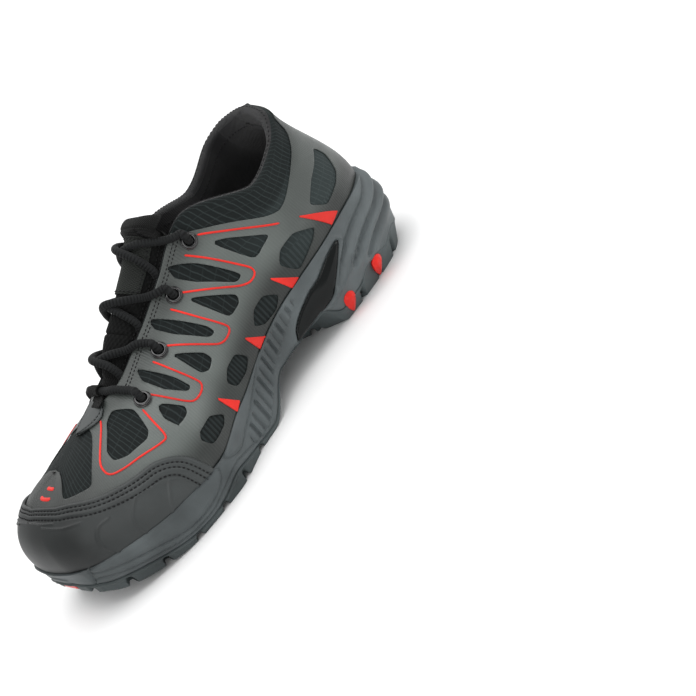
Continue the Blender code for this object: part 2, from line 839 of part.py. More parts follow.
def make_laces():
    """The criss-cross lace and its straight lowest bar, joined where they meet."""
    row = EYELETS[0][0] - LACE_BAR_DROP
    bar = [over_eyelet(0, -1), over_edge(row, -1)]
    bar += [over_tongue(row, LACE_RADIUS * 0.8), over_edge(row, 1), over_eyelet(0, 1)]
    laces = make_cord("laces", bar)
    for i in range(len(EYELETS) - 1):
        for side in (-1, 1):
            points = crossing(i, side, (side > 0) == (i % 2 == 0))
            cord = make_cord(f"lace_crossing_{i}_{side + 1}", points, 2)
            SHOE.objects.unlink(cord)
            CUTTERS.objects.link(cord)
            cord.hide_render = True
            cord.display_type = "WIRE"
    join = laces.modifiers.new("Join", "BOOLEAN")
    join.operation = "UNION"
    join.operand_type = "COLLECTION"
    join.collection = CUTTERS
    return laces


def main():
    make_outsole()
    make_midsole()
    make_insole()
    make_bumper()
    make_toe_plug()
    make_plate("arch_plate_outer", 1)
    make_plate("arch_plate_inner", -1)
    for i, f in enumerate(HEEL_PLUGS, 1):
        make_heel_plug(f"heel_plug_outer_{i}", f, 1)
        make_heel_plug(f"heel_plug_inner_{i}", f, -1)
    make_upper()
    make_toe_cap()
    make_tongue()
    make_throat_tab()
    for i, (t, v) in enumerate(EYELETS, 1):
        make_eyelet(f"eyelet_outer_{i}", t, v, 1)
        make_eyelet(f"eyelet_inner_{i}", t, v, -1)
    make_laces()


for old in list(bpy.data.objects):
    bpy.data.objects.remove(old, do_unlink=True)
SHOE = bpy.data.collections.new("safety_sneaker")
bpy.context.scene.collection.children.link(SHOE)
CUTTERS = bpy.data.collections.new("joined_shapes")
bpy.context.scene.collection.children.link(CUTTERS)
main()
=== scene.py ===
# %% [markdown]
# # A safety sneaker
# One low work shoe stands on a pale floor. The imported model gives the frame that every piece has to
# fit. The visible pieces are made again here with their film, stitches, piping, weave and tread.

# %% Load the frame
import math

import bmesh
import bpy
import numpy as np
from mathutils import Matrix, Vector


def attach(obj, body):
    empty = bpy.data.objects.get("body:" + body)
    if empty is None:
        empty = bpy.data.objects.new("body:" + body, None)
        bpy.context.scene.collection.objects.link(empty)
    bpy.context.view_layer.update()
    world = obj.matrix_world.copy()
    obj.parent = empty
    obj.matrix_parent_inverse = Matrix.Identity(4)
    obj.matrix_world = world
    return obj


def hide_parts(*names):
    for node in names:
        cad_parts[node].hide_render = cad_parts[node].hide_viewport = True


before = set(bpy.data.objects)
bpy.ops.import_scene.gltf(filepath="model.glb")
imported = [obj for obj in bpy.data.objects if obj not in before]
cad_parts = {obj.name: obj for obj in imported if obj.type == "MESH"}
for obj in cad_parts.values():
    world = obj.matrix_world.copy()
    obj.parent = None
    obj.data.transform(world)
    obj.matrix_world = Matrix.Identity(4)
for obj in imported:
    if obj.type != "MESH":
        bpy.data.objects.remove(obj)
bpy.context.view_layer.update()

# %% [markdown]
# ## The camera
# The picture shows the shoe from its outer side, a little from above and in front, and tipped, so the
# camera is turned about its own view axis. It is made first because everything is judged through it.

# %% Camera
AZIMUTH = 63.09
ELEVATION = 23.9
ROLL = -41.27
CAMERA_LENS = 85
CAMERA_PLACE = (0.81307, -0.34434, 0.37777)


def aim(azimuth, elevation, roll):
    a, e, r = map(math.radians, (azimuth, elevation, roll))
    back = Vector((math.sin(a) * math.cos(e), -math.cos(a) * math.cos(e), math.sin(e)))
    right = Vector((0, 0, 1)).cross(back).normalized()
    up = back.cross(right)
    turned = Matrix((right, up, back)).transposed()
    return turned @ Matrix.Rotation(r, 3, "Z")


camera = bpy.data.objects.new("camera", bpy.data.cameras.new("camera"))
bpy.context.collection.objects.link(camera)
camera.data.lens = CAMERA_LENS
camera.data.sensor_width = 36
camera.data.clip_start = 0.01
camera.matrix_world = Matrix.Translation(CAMERA_PLACE) @ aim(AZIMUTH, ELEVATION, ROLL).to_4x4()
bpy.context.scene.camera = camera
print("camera", tuple(round(c, 3) for c in camera.location))

# %% [markdown]
# ## The last
# A shoe is built round a last, the wooden or plastic foot. Here it is a table of rows from the toe tip
# to the back of the heel. A place on the shoe is u, a row number that runs down the outer side to the
# heel and back up the inner side, and v, the share of the way from the sole to the top edge.

# %% Sizes and the table
LENGTH = 0.309
BOX_MIDDLE = 0.4898
BOX_MIDDLE_X = 0.0043
BALL_WIDTH = 0.107
HEEL_WIDTH = 0.071
COLLAR_HEIGHT = 0.122
RIM_HEIGHT = 0.050
TOE_SPRING = 0.017
ARCH_HEIGHT = 0.0165
CLEARANCE = 0.0003
OUTSOLE_THICKNESS = 0.0100
WAIST_THICKNESS = 0.0028
HEEL_FLARE = 0.0095
FORE_FLARE = 0.0018
HEEL_RIM_OUT = 0.0060
FORE_RIM_OUT = 0.0030
LEDGE_WIDTH = 0.0050
FOOTBED_DEPTH = 0.0105
UPPER_STEP = 0.0012
WALL = 0.0024
COLLAR_PAD = 0.0085
CAP_THICKNESS = 0.0016
CAP_END = 5.0
HEEL_BREAST = (0.275, 0.320)
ARCH_END = (0.455, 0.555)
COLUMNS = "f half mid spring rim top_f gap rise top_z low_out low_up high_out high_down".split()
LAST = np.array([
    (0.981, 0.000, 0.000, 1.00, 0.64, 0.858, 0.000, 0.000, 0.550, 0.02, 0.19, 0.19, 0.010),
    (0.976, 0.163, -0.002, 0.88, 0.64, 0.853, 0.000, 0.000, 0.552, 0.02, 0.19, 0.20, 0.010),
    (0.953, 0.306, -0.004, 0.56, 0.61, 0.840, 0.000, 0.000, 0.556, 0.03, 0.19, 0.21, 0.010),
    (0.883, 0.421, 0.010, 0.17, 0.53, 0.806, 0.000, 0.000, 0.568, 0.04, 0.19, 0.24, 0.010),
    (0.796, 0.483, 0.034, 0.00, 0.465, 0.745, 0.000, 0.000, 0.605, 0.04, 0.20, 0.22, 0.020),
    (0.696, 0.500, 0.040, 0.00, 0.44, 0.673, 0.103, 0.000, 0.640, 0.02, 0.20, 0.13, 0.080),
    (0.582, 0.437, 0.010, 0.00, 0.55, 0.573, 0.117, 0.000, 0.715, 0.00, 0.20, 0.10, 0.120),
    (0.479, 0.446, 0.010, 0.00, 0.70, 0.482, 0.131, 0.000, 0.815, 0.00, 0.20, 0.09, 0.150),
    (0.356, 0.489, 0.007, 0.00, 0.82, 0.370, 0.190, 0.000, 0.945, 0.01, 0.20, 0.05, 0.180),
    (0.233, 0.493, 0.004, 0.00, 0.90, 0.245, 0.350, 0.035, 0.810, 0.03, 0.16, 0.02, 0.140),
    (0.123, 0.450, 0.002, 0.00, 0.97, 0.162, 0.345, 0.050, 0.870, 0.03, 0.16, 0.02, 0.140),
    (0.052, 0.286, 0.000, 0.00, 0.99, 0.104, 0.255, 0.015, 0.955, 0.02, 0.18, 0.00, 0.150),
    (0.023, 0.000, 0.000, 0.00, 0.99, 0.080, 0.000, 0.000, 0.996, 0.02, 0.18, -0.02, 0.150),
])
LAST_ROW = len(LAST) - 1
ROUND = 2 * LAST_ROW

# %% Curves through the table
def column_slopes(values, sign):
    """Slopes that keep a curve from overshooting, mirrored past the toe tip and the heel's back."""
    padded = np.concatenate([[sign * values[1]], values, [sign * values[-2]]])
    step = np.diff(padded)
    before, after = step[:-1], step[1:]
    product = before * after
    total = np.where(product > 0, before + after, 1.0)
    return np.where(product > 0, 2 * product / total, 0.0)


CURVES = {}
for number, name in enumerate(COLUMNS):
    sign = -1.0 if name in ("half", "gap") else 1.0
    CURVES[name] = (LAST[:, number], column_slopes(LAST[:, number], sign))


def column(name, t):
    values, slopes = CURVES[name]
    i = np.clip(t.astype(int), 0, LAST_ROW - 1)
    s = t - i
    h = s * s * (3 - 2 * s)
    bend = s * (1 - s) * ((1 - s) * slopes[i] - s * slopes[i + 1])
    return values[i] * (1 - h) + values[i + 1] * h + bend


def ease(value, start, end):
    s = np.clip((value - start) / (end - start), 0, 1)
    return s * s * (3 - 2 * s)


def mix(a, b, share):
    return a + (b - a) * share


def around(u):
    """Row number and side of a place u on the way round the shoe."""
    w = np.mod(np.asarray(u, float), ROUND)
    return LAST_ROW - np.abs(w - LAST_ROW), np.where(w <= LAST_ROW, 1.0, -1.0)


def foot_edge(u):
    t, side = around(u)
    f = column("f", t)
    width = mix(HEEL_WIDTH, BALL_WIDTH, ease(f, 0.35, 0.60))
    x = column("mid", t) * BALL_WIDTH + side * column("half", t) * width - BOX_MIDDLE_X
    return np.stack([x, LENGTH * (BOX_MIDDLE - f)], -1)


def outward(u):
    along = foot_edge(u + 0.02) - foot_edge(u - 0.02)
    along /= np.linalg.norm(along, axis=-1, keepdims=True)
    return np.stack([along[..., 1], -along[..., 0]], -1)


def arch(t):
    f = column("f", t)
    return ease(f, *HEEL_BREAST) * (1 - ease(f, *ARCH_END))


def ground(t):
    return TOE_SPRING * column("spring", t) + ARCH_HEIGHT * arch(t)


def split(t):
    return ground(t) + mix(OUTSOLE_THICKNESS, WAIST_THICKNESS, arch(t))


def rim(t):
    return RIM_HEIGHT * column("rim", t)


def footbed(t):
    return rim(t) - FOOTBED_DEPTH * mix(1.0, 0.45, ease(column("f", t), 0.3, 0.6))


def fore(t):
    return ease(column("f", t), 0.22, 0.42)


def rim_out(t):
    return mix(HEEL_RIM_OUT, FORE_RIM_OUT, fore(t))


def with_height(plan, z):
    return np.concatenate([plan, np.broadcast_to(z, plan.shape[:-1])[..., None]], -1)


def skin(u, v):
    """The outer surface of the upper."""
    u, v = np.broadcast_arrays(np.asarray(u, float), np.asarray(v, float))
    t, side = around(u)
    out = outward(u)
    step = UPPER_STEP + CAP_THICKNESS * (1 - ease(t, CAP_END - 1.0, CAP_END))
    low = with_height(foot_edge(u) + out * (rim_out(t) - step)[..., None], rim(t) + CLEARANCE)
    x = column("mid", t) * BALL_WIDTH + side * column("gap", t) * BALL_WIDTH - BOX_MIDDLE_X
    plan = np.stack([x, LENGTH * (BOX_MIDDLE - column("top_f", t))], -1)
    top = with_height(plan, COLLAR_HEIGHT * (column("top_z", t) + column("rise", t) * (side < 0)))
    away = with_height(out, 0.0)
    up = np.array([0.0, 0.0, COLLAR_HEIGHT])
    a = low + away * (column("low_out", t) * COLLAR_HEIGHT)[..., None] + up * column("low_up", t)[..., None]
    b = top + away * (column("high_out", t) * COLLAR_HEIGHT)[..., None]
    b = b - up * column("high_down", t)[..., None]
    s = v[..., None]
    w = 1 - s
    return low * w**3 + a * (3 * w * w * s) + b * (3 * w * s * s) + top * s**3


def skin_normal(u, v):
    u, v = np.broadcast_arrays(np.asarray(u, float), np.asarray(v, float))
    along = skin(u + 0.02, v) - skin(u - 0.02, v)
    up = skin(u, np.minimum(v + 0.02, 1)) - skin(u, np.maximum(v - 0.02, 0))
    normal = np.cross(along, up)
    return normal / np.maximum(np.linalg.norm(normal, axis=-1, keepdims=True), 1e-12)


def over_skin(u, v, height):
    return skin(u, v) + skin_normal(u, v) * np.asarray(height, float)[..., None]


print("last: toe", skin(0.0, 0.0).round(4), "collar", skin(12.0, 1.0).round(4))

# %% [markdown]
# ## Shader maths
# A finish is a node tree. A small wrapper lets the maths of a pattern be written as ordinary
# expressions, so that the material reads like the formula it is.

# %% Values and finishes
class Value:
    """A socket whose arithmetic adds Math nodes."""

    def __init__(self, finish, socket):
        self.finish, self.socket = finish, socket

    def maths(self, operation, *others):
        inputs = {number: other for number, other in enumerate((self, *others))}
        return self.finish.node("Math", {"operation": operation}, inputs)

    def __add__(self, other):
        return self.maths("ADD", other)

    def __mul__(self, other):
        return self.maths("MULTIPLY", other)

    def __sub__(self, other):
        return self.maths("SUBTRACT", other)

    def __rsub__(self, other):
        return (self * -1) + other

    __radd__ = __add__
    __rmul__ = __mul__

    def wave(self):
        return self.maths("SINE")

    def step(self, low, high):
        """0 below low and 1 above high."""
        names = {"Value": self, "From Min": low, "From Max": high}
        return self.finish.node("MapRange", {"interpolation_type": "SMOOTHSTEP", "clamp": True}, names)


class Finish:
    """A material whose nodes come from one method."""

    def __init__(self, name, colour, roughness, specular=0.25, sheen=0.0):
        self.material = bpy.data.materials.new(name)
        self.material.use_nodes = True
        self.tree = self.material.node_tree
        self.shader = self.tree.nodes["Principled BSDF"]
        self.set("Base Color", (*colour, 1.0))
        self.set("Roughness", roughness)
        self.set("Specular IOR Level", specular)
        self.set("Sheen Weight", sheen)
        self.colour = colour

    def node(self, kind, settings=None, inputs=None, outlet=0):
        made = self.tree.nodes.new("ShaderNode" + kind)
        for key, value in (settings or {}).items():
            setattr(made, key, value)
        for key, value in (inputs or {}).items():
            if isinstance(value, Value):
                self.tree.links.new(value.socket, made.inputs[key])
            else:
                made.inputs[key].default_value = value
        return Value(self, made.outputs[outlet])

    def set(self, key, value):
        if isinstance(value, Value):
            self.tree.links.new(value.socket, self.shader.inputs[key])
        else:
            self.shader.inputs[key].default_value = value

    def flat(self):
        """The piece's own pattern coordinates, in metres: X round the shoe and Y up it."""
        uv = self.node("UVMap", {"uv_map": "flat"})
        parts = self.tree.nodes.new("ShaderNodeSeparateXYZ")
        self.tree.links.new(uv.socket, parts.inputs[0])
        return Value(self, parts.outputs[0]), Value(self, parts.outputs[1])

    def place(self):
        return self.node("TexCoord", outlet=3)

    def axes(self):
        """The object's own X, Y and Z, in metres."""
        parts = self.tree.nodes.new("ShaderNodeSeparateXYZ")
        self.tree.links.new(self.place().socket, parts.inputs[0])
        return [Value(self, outlet) for outlet in parts.outputs]

    def noise(self, scale, detail=3.0, vector=None):
        vector = vector or self.place()
        return self.node("TexNoise", None, {"Vector": vector, "Scale": scale, "Detail": detail})

    def blend(self, share, first, second):
        made = self.tree.nodes.new("ShaderNodeMix")
        made.data_type = "RGBA"
        for key, value in ((0, share), (6, first), (7, second)):
            if isinstance(value, Value):
                self.tree.links.new(value.socket, made.inputs[key])
            elif key:
                made.inputs[key].default_value = (*value, 1.0)
            else:
                made.inputs[key].default_value = value
        return Value(self, made.outputs[2])

    def bump(self, height, depth, strength=1.0):
        inputs = {"Height": height, "Distance": depth, "Strength": strength}
        self.set("Normal", self.node("Bump", None, inputs))


def shades(colour, *factors):
    return [tuple(min(1.0, c * factor) for c in colour) for factor in factors]


# %% [markdown]
# ## The finishes
# The film is a satin plastic with hair-fine lines, the fabric below it a dark ripstop, and the cap a
# coated leather. Each has its own scale of grain, and none is one flat colour. Their colours also hold
# painted light: a painted highlight band on the film, painted shade near the sole and toward the toe, and
# fabric painted lighter toward the heel.

# %% Film, fabric and leather
def film_finish():
    finish = Finish("satin film", (0.062, 0.070, 0.066), 0.38, 0.34)
    along, up = finish.flat()
    lines = (along * (2 * math.pi / 0.00125)).wave()
    soft = finish.noise(38.0, 2.0)
    _, y, _ = finish.axes()
    dark, light = shades(finish.colour, 0.20, 2.5)
    # Painted light: a painted highlight band across the film at mid height, kept off the toe and weaker at
    # the heel, with painted shade below it near the sole.
    band = up.step(0.010, 0.028) * (1 - up.step(0.050, 0.072) * 0.70)
    quarter = y.step(-0.125, -0.075)
    middle = band * quarter * (1 - y.step(0.045, 0.085) * 0.45)
    share = middle * 0.52 + soft.step(0.3, 0.72) * 0.08 + lines * 0.02 + 0.05
    finish.set("Base Color", finish.blend(share, dark, light))
    finish.set("Roughness", finish.noise(160.0) * 0.16 + 0.34)
    finish.bump(lines * 0.5 + finish.noise(900.0) * 0.5, 0.00012, 0.55)
    return finish.material


def ripstop_finish():
    finish = Finish("ripstop fabric", (0.017, 0.022, 0.022), 0.75, 0.10, sheen=0.02)
    along, up = finish.flat()
    slant = along + up * 0.12 + finish.noise(60.0) * 0.003
    thread = (slant * (2 * math.pi / 0.0026)).wave().step(0.62, 1.0)
    cross = ((up - along * 0.30) * (2 * math.pi / 0.0085)).wave().step(0.95, 1.0)
    weave = (along * (2 * math.pi / 0.0008)).wave() * (up * (2 * math.pi / 0.0008)).wave()
    ridge = thread.maths("MAXIMUM", cross * 0.5)
    _, y, _ = finish.axes()
    dark, light = shades(finish.colour, 0.30, 2.6)
    # Painted light: the fabric toward the heel, below the collar band, is painted lighter, where the light
    # falls; the front stays darker.
    heel = y.step(0.02, 0.10) * (1 - up.step(0.050, 0.062) * 0.85)
    plain = up.step(0.0180, 0.0195)
    slats = (along * (2 * math.pi / 0.0021)).wave().step(-0.3, 0.5) * (1 - plain)
    share = heel * 0.58 + ridge * plain * 0.34 + weave * 0.05 + slats * 0.26 + 0.07
    finish.set("Base Color", finish.blend(share, dark, light))
    finish.bump(ridge * plain * 0.5 + weave * 0.2 + slats, 0.00030, 0.8)
    return finish.material


def leather_finish():
    finish = Finish("coated leather", (0.026, 0.029, 0.029), 0.44)
    cells = finish.node("TexVoronoi", None, {"Vector": finish.place(), "Scale": 1300.0})
    soft = finish.noise(45.0, 3.0)
    _, y, _ = finish.axes()
    dark, light = shades(finish.colour, 0.52, 1.75)
    # Painted shade: the cap is painted darker at the front of the toe than along its side.
    side = y.step(-0.150, -0.085) * 0.75
    finish.set("Base Color", finish.blend(side + soft.step(0.3, 0.7) * 0.25, dark, light))
    finish.set("Roughness", soft * 0.18 + 0.36)
    finish.bump(cells * 0.6 + finish.noise(500.0) * 0.4, 0.00008, 0.5)
    return finish.material


# %% [markdown]
# The moulded pieces need no weave. A very fine noise bumps them like the skin of a mould, and a slow one
# moves their shade a little, so that no side reads as one flat colour. The two sole rubbers are also
# painted lighter toward the heel: painted light.

# %% Rubber, plastic, metal and cord
def rubber_finish(name, colour, roughness, grain=0.00008, specular=0.25, painted_heel_light=0.0):
    finish = Finish(name, colour, roughness, specular)
    soft = finish.noise(30.0, 4.0)
    _, y, _ = finish.axes()
    dark, light = shades(colour, 0.82, 1.2 + painted_heel_light * 2)
    # Painted light: a share above zero paints the rubber lighter toward the heel, where the light falls.
    share = y.step(-0.06, 0.10) * painted_heel_light + soft.step(0.3, 0.7) * (1 - painted_heel_light)
    finish.set("Base Color", finish.blend(share, dark, light))
    finish.set("Roughness", finish.noise(240.0) * 0.18 + (roughness - 0.08))
    finish.bump(finish.noise(1500.0, 2.0), grain, 0.6)
    return finish.material


def plate_finish():
    finish = Finish("glossy plate", (0.003, 0.004, 0.004), 0.26, 0.20)
    finish.set("Roughness", finish.noise(90.0) * 0.14 + 0.10)
    finish.bump(finish.noise(60.0), 0.0002, 0.2)
    return finish.material


def thread_finish(name, colour):
    finish = Finish(name, colour, 0.6, 0.2, sheen=0.05)
    finish.set("Base Color", finish.blend(finish.noise(700.0), *shades(colour, 0.6, 1.5)))
    return finish.material


def lace_finish():
    finish = Finish("braided lace", (0.0065, 0.0070, 0.0072), 0.78, 0.12, sheen=0.03)
    along, turn = finish.flat()
    first = ((along * 560.0 + turn) * (2 * math.pi)).wave()
    second = ((along * 560.0 - turn) * (2 * math.pi)).wave()
    braid = first.maths("MAXIMUM", second)
    finish.set("Base Color", finish.blend(braid * 0.5 + 0.5, *shades(finish.colour, 0.55, 1.9)))
    finish.bump(braid, 0.00022, 0.6)
    return finish.material


def cloth_finish(name, colour, pitch, sheen=0.15):
    finish = Finish(name, colour, 0.82, 0.10, sheen=sheen)
    along, up = finish.flat()
    weave = (along * (2 * math.pi / pitch)).wave() * (up * (2 * math.pi / pitch)).wave()
    soft = finish.noise(60.0)
    finish.set("Base Color", finish.blend(weave * 0.3 + soft * 0.7, *shades(colour, 0.7, 1.4)))
    finish.bump(weave, 0.0003, 0.7)
    return finish.material


FILM = film_finish()
RIPSTOP = ripstop_finish()
LEATHER = leather_finish()
# The two sole rubbers get painted light: they are painted lighter toward the heel.
MIDSOLE_RUBBER = rubber_finish("midsole rubber", (0.052, 0.060, 0.062), 0.50, painted_heel_light=0.4)
OUTSOLE_RUBBER = rubber_finish("outsole rubber", (0.040, 0.048, 0.049), 0.60, 0.00015, painted_heel_light=0.5)
RED_RUBBER = rubber_finish("red rubber", (0.60, 0.016, 0.010), 0.34)
RED_TRIM = rubber_finish("red trim", (0.62, 0.020, 0.013), 0.42)
PLATE = plate_finish()
LACE = lace_finish()
THREAD = thread_finish("black thread", (0.005, 0.005, 0.0055))
TONGUE_CLOTH = cloth_finish("tongue cloth", (0.0055, 0.0058, 0.0056), 0.0009, 0.04)
LINING = cloth_finish("lining cloth", (0.010, 0.010, 0.011), 0.0012)
EYELET_METAL = rubber_finish("black metal", (0.003, 0.003, 0.0035), 0.14, 0.00002, 0.8)
print("finishes", len(bpy.data.materials))

# %% [markdown]
# ## Cutting and laying a pattern
# A shoe's upper is sewn from flat patterns. Here a flat grid in pattern coordinates is cut along the
# line where a distance is zero, and then laid over the last. Its edge stays crisp whatever its shape.

# %% Sheets
PATTERN_ROUND = 0.026
PATTERN_UP = 0.080
SCALE = np.array([PATTERN_ROUND, PATTERN_UP])


def flat_grid(start, end, low, high, cell):
    """A flat sheet of small squares between two rows and two shares."""
    bm = bmesh.new()
    across = max(2, round((end - start) * PATTERN_ROUND / cell))
    tall = max(2, round((high - low) * PATTERN_UP / cell))
    bmesh.ops.create_grid(bm, x_segments=across, y_segments=tall, size=0.5)
    for vertex in bm.verts:
        x, y = vertex.co.x + 0.5, vertex.co.y + 0.5
        vertex.co = (mix(start, end, x), mix(low, high, y), 0.0)
    return bm


def places(bm):
    return np.array([vertex.co[:2] for vertex in bm.verts])


def polygon_distance(points, corners):
    """Distance in metres from pattern places to a polygon, negative inside."""
    p = np.asarray(points) * SCALE
    q = np.asarray(corners) * SCALE
    nearest = np.full(len(p), np.inf)
    inside = np.zeros(len(p), bool)
    for a, b in zip(q, np.roll(q, -1, 0)):
        nearest = np.minimum(nearest, segment_distance(p, a, b))
        crosses = (a[1] > p[:, 1]) != (b[1] > p[:, 1])
        rise = b[1] - a[1] if abs(b[1] - a[1]) > 1e-12 else 1e-12
        inside ^= crosses & (p[:, 0] < (b[0] - a[0]) * (p[:, 1] - a[1]) / rise + a[0])
    return np.where(inside, -nearest, nearest)


def segment_distance(p, a, b):
    along = b - a
    share = np.clip((p - a) @ along / max(along @ along, 1e-18), 0, 1)
    return np.linalg.norm(p - a - share[:, None] * along, axis=1)


def line_distance(points, corners):
    """Distance in metres from pattern places to an open line."""
    p, q = np.asarray(points) * SCALE, np.asarray(corners) * SCALE
    return np.min([segment_distance(p, a, b) for a, b in zip(q, q[1:])], axis=0)


def cut_flat(bm, distance):
    """Cuts the flat sheet where distance is zero and drops what has a positive distance."""
    bm.verts.ensure_lookup_table()
    bm.verts.index_update()
    value = distance(places(bm))
    value = np.where(np.abs(value) < 1e-7, 1e-7, value)
    ends = []
    for edge in list(bm.edges):
        a, b = edge.verts
        low, high = value[a.index], value[b.index]
        if low * high < 0:
            ends.append((edge, a, float(low / (low - high))))
    fresh = [bmesh.utils.edge_split(edge, vertex, share)[1] for edge, vertex, share in ends]
    bmesh.ops.connect_verts(bm, verts=fresh)
    centres = np.array([face.calc_center_median()[:2] for face in bm.faces])
    outside = distance(centres) > 0
    doomed = [face for face, out in zip(bm.faces, outside) if out]
    bmesh.ops.delete(bm, geom=doomed, context="FACES")


def mark_flat(bm):
    """Keeps the pattern coordinates as a UV map, in metres."""
    layer = bm.loops.layers.uv.new("flat")
    for face in bm.faces:
        for loop in face.loops:
            x, y = loop.vert.co.x, loop.vert.co.y
            loop[layer].uv = (x * PATTERN_ROUND, y * PATTERN_UP)


def lay(bm, surface):
    """Moves every vertex from its flat place (u, v) to the surface."""
    flat = places(bm)
    for vertex, point in zip(bm.verts, surface(flat[:, 0], flat[:, 1])):
        vertex.co = point


def piece(name, bm, material, angle=40.0, merge=1e-6):
    """Makes a named object of a finished mesh, and lets it ride on the shoe."""
    if merge:
        bmesh.ops.remove_doubles(bm, verts=bm.verts, dist=merge)
    mesh = bpy.data.meshes.new(name)
    bm.to_mesh(mesh)
    bm.free()
    mesh.materials.append(material)
    mesh.shade_smooth()
    mesh.set_sharp_from_angle(angle=math.radians(angle))
    made = bpy.data.objects.new(name, mesh)
    bpy.context.collection.objects.link(made)
    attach(made, "root")
    print(name, len(mesh.polygons), "faces")
    return made


def give_wall(made, thickness, offset=1.0):
    wall = made.modifiers.new("wall", "SOLIDIFY")
    wall.thickness = thickness
    wall.offset = offset
    wall.use_quality_normals = True
    return made


# %% [markdown]
# ## The fabric upper
# Below the film the upper is one bag of ripstop fabric with a padded collar. The mesh goes up the outside,
# over the rounded edge of the collar or throat, and down the lining.

# %% Fabric shell
SHELL_COLUMNS = 480
OUTSIDE_ROWS = 56
EDGE_ROWS = 10
LINING_ROWS = 30
THROAT_END = 3.95


def padding(t, v):
    return (1 - ease(column("f", t), 0.30, 0.40)) * ease(v, 0.45, 0.85)


def wall_at(t, v):
    return mix(WALL, COLLAR_PAD, padding(t, v))


def open_edge(t):
    """0 where the two halves meet over the toes and 1 along the throat and the collar."""
    return ease(column("gap", t), 0.0, 0.03)


def edge_share(t):
    """The share at which the outer face starts to turn over the top edge."""
    return 1 - 0.40 * wall_at(t, np.ones_like(t)) / PATTERN_UP * open_edge(t)


def fit_share(u, v):
    """The share on the skin of a share of the pattern, which stops short of the rounded edge."""
    t, _ = around(u)
    return v - (1 - edge_share(t)) * ease(v, 0.6, 1.0)


def on_upper(u, v, height):
    return over_skin(u, fit_share(u, v), height)


def shell_surface(u, r):
    """r from 0 to 1 up the outside, to 2 over the edge, and to 3 down the inside."""
    t, _ = around(u)
    top = edge_share(t)
    v = fit_share(u, np.where(r <= 1, r, np.clip(3 - r, 0.02, 1)))
    thick = wall_at(t, v)
    normal = skin_normal(u, v)
    outer = skin(u, v) - normal * 0.00025
    inner = outer - normal * thick[:, None]
    turn = np.clip(r - 1, 0, 1) * math.pi
    rise = skin(u, top) - skin(u, top - 0.02)
    rise /= np.maximum(np.linalg.norm(rise, axis=1, keepdims=True), 1e-9)
    middle = (outer + inner) / 2
    roll = middle + (outer - middle) * np.cos(turn)[:, None]
    roll += rise * (np.sin(turn) * thick * 0.40 * open_edge(t))[:, None]
    return np.where((r <= 1)[:, None], outer, np.where((r >= 2)[:, None], inner, roll))


def fold_share(level):
    """The share r of a mesh row counted from the bottom of the outside."""
    if level <= OUTSIDE_ROWS:
        return level / OUTSIDE_ROWS
    if level <= OUTSIDE_ROWS + EDGE_ROWS:
        return 1 + (level - OUTSIDE_ROWS) / EDGE_ROWS
    return 2 + (level - OUTSIDE_ROWS - EDGE_ROWS) / LINING_ROWS


def make_shell():
    rows = OUTSIDE_ROWS + EDGE_ROWS + LINING_ROWS
    bm = bmesh.new()
    bmesh.ops.create_grid(bm, x_segments=SHELL_COLUMNS, y_segments=rows, size=0.5)
    for vertex in bm.verts:
        x, y = vertex.co.x + 0.5, vertex.co.y + 0.5
        vertex.co = (x * ROUND, fold_share(y * rows), 0.0)
    mark_flat(bm)
    seam = []
    for face in bm.faces:
        centre = face.calc_center_median()
        if 1.01 < centre.y < 1.99 and abs(centre.x - LAST_ROW) > LAST_ROW - THROAT_END:
            seam.append(face)
    bmesh.ops.delete(bm, geom=seam, context="FACES")
    for face in bm.faces:
        face.material_index = 1 if face.calc_center_median().y > 1.35 else 0
    lay(bm, shell_surface)
    made = piece("upper_fabric", bm, RIPSTOP, 60, 2e-5)
    made.data.materials.append(LINING)
    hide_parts("upper")
    return made


make_shell()

# %% [markdown]
# ## The film
# A thin film is welded over the fabric. Its windows leave the fabric bare: two between every pair of
# eyelets, slots near the sole, one at the heel, one along the collar, one on the vamp and one over the
# toes. The two halves of a sheet meet on the ridge of the foot.

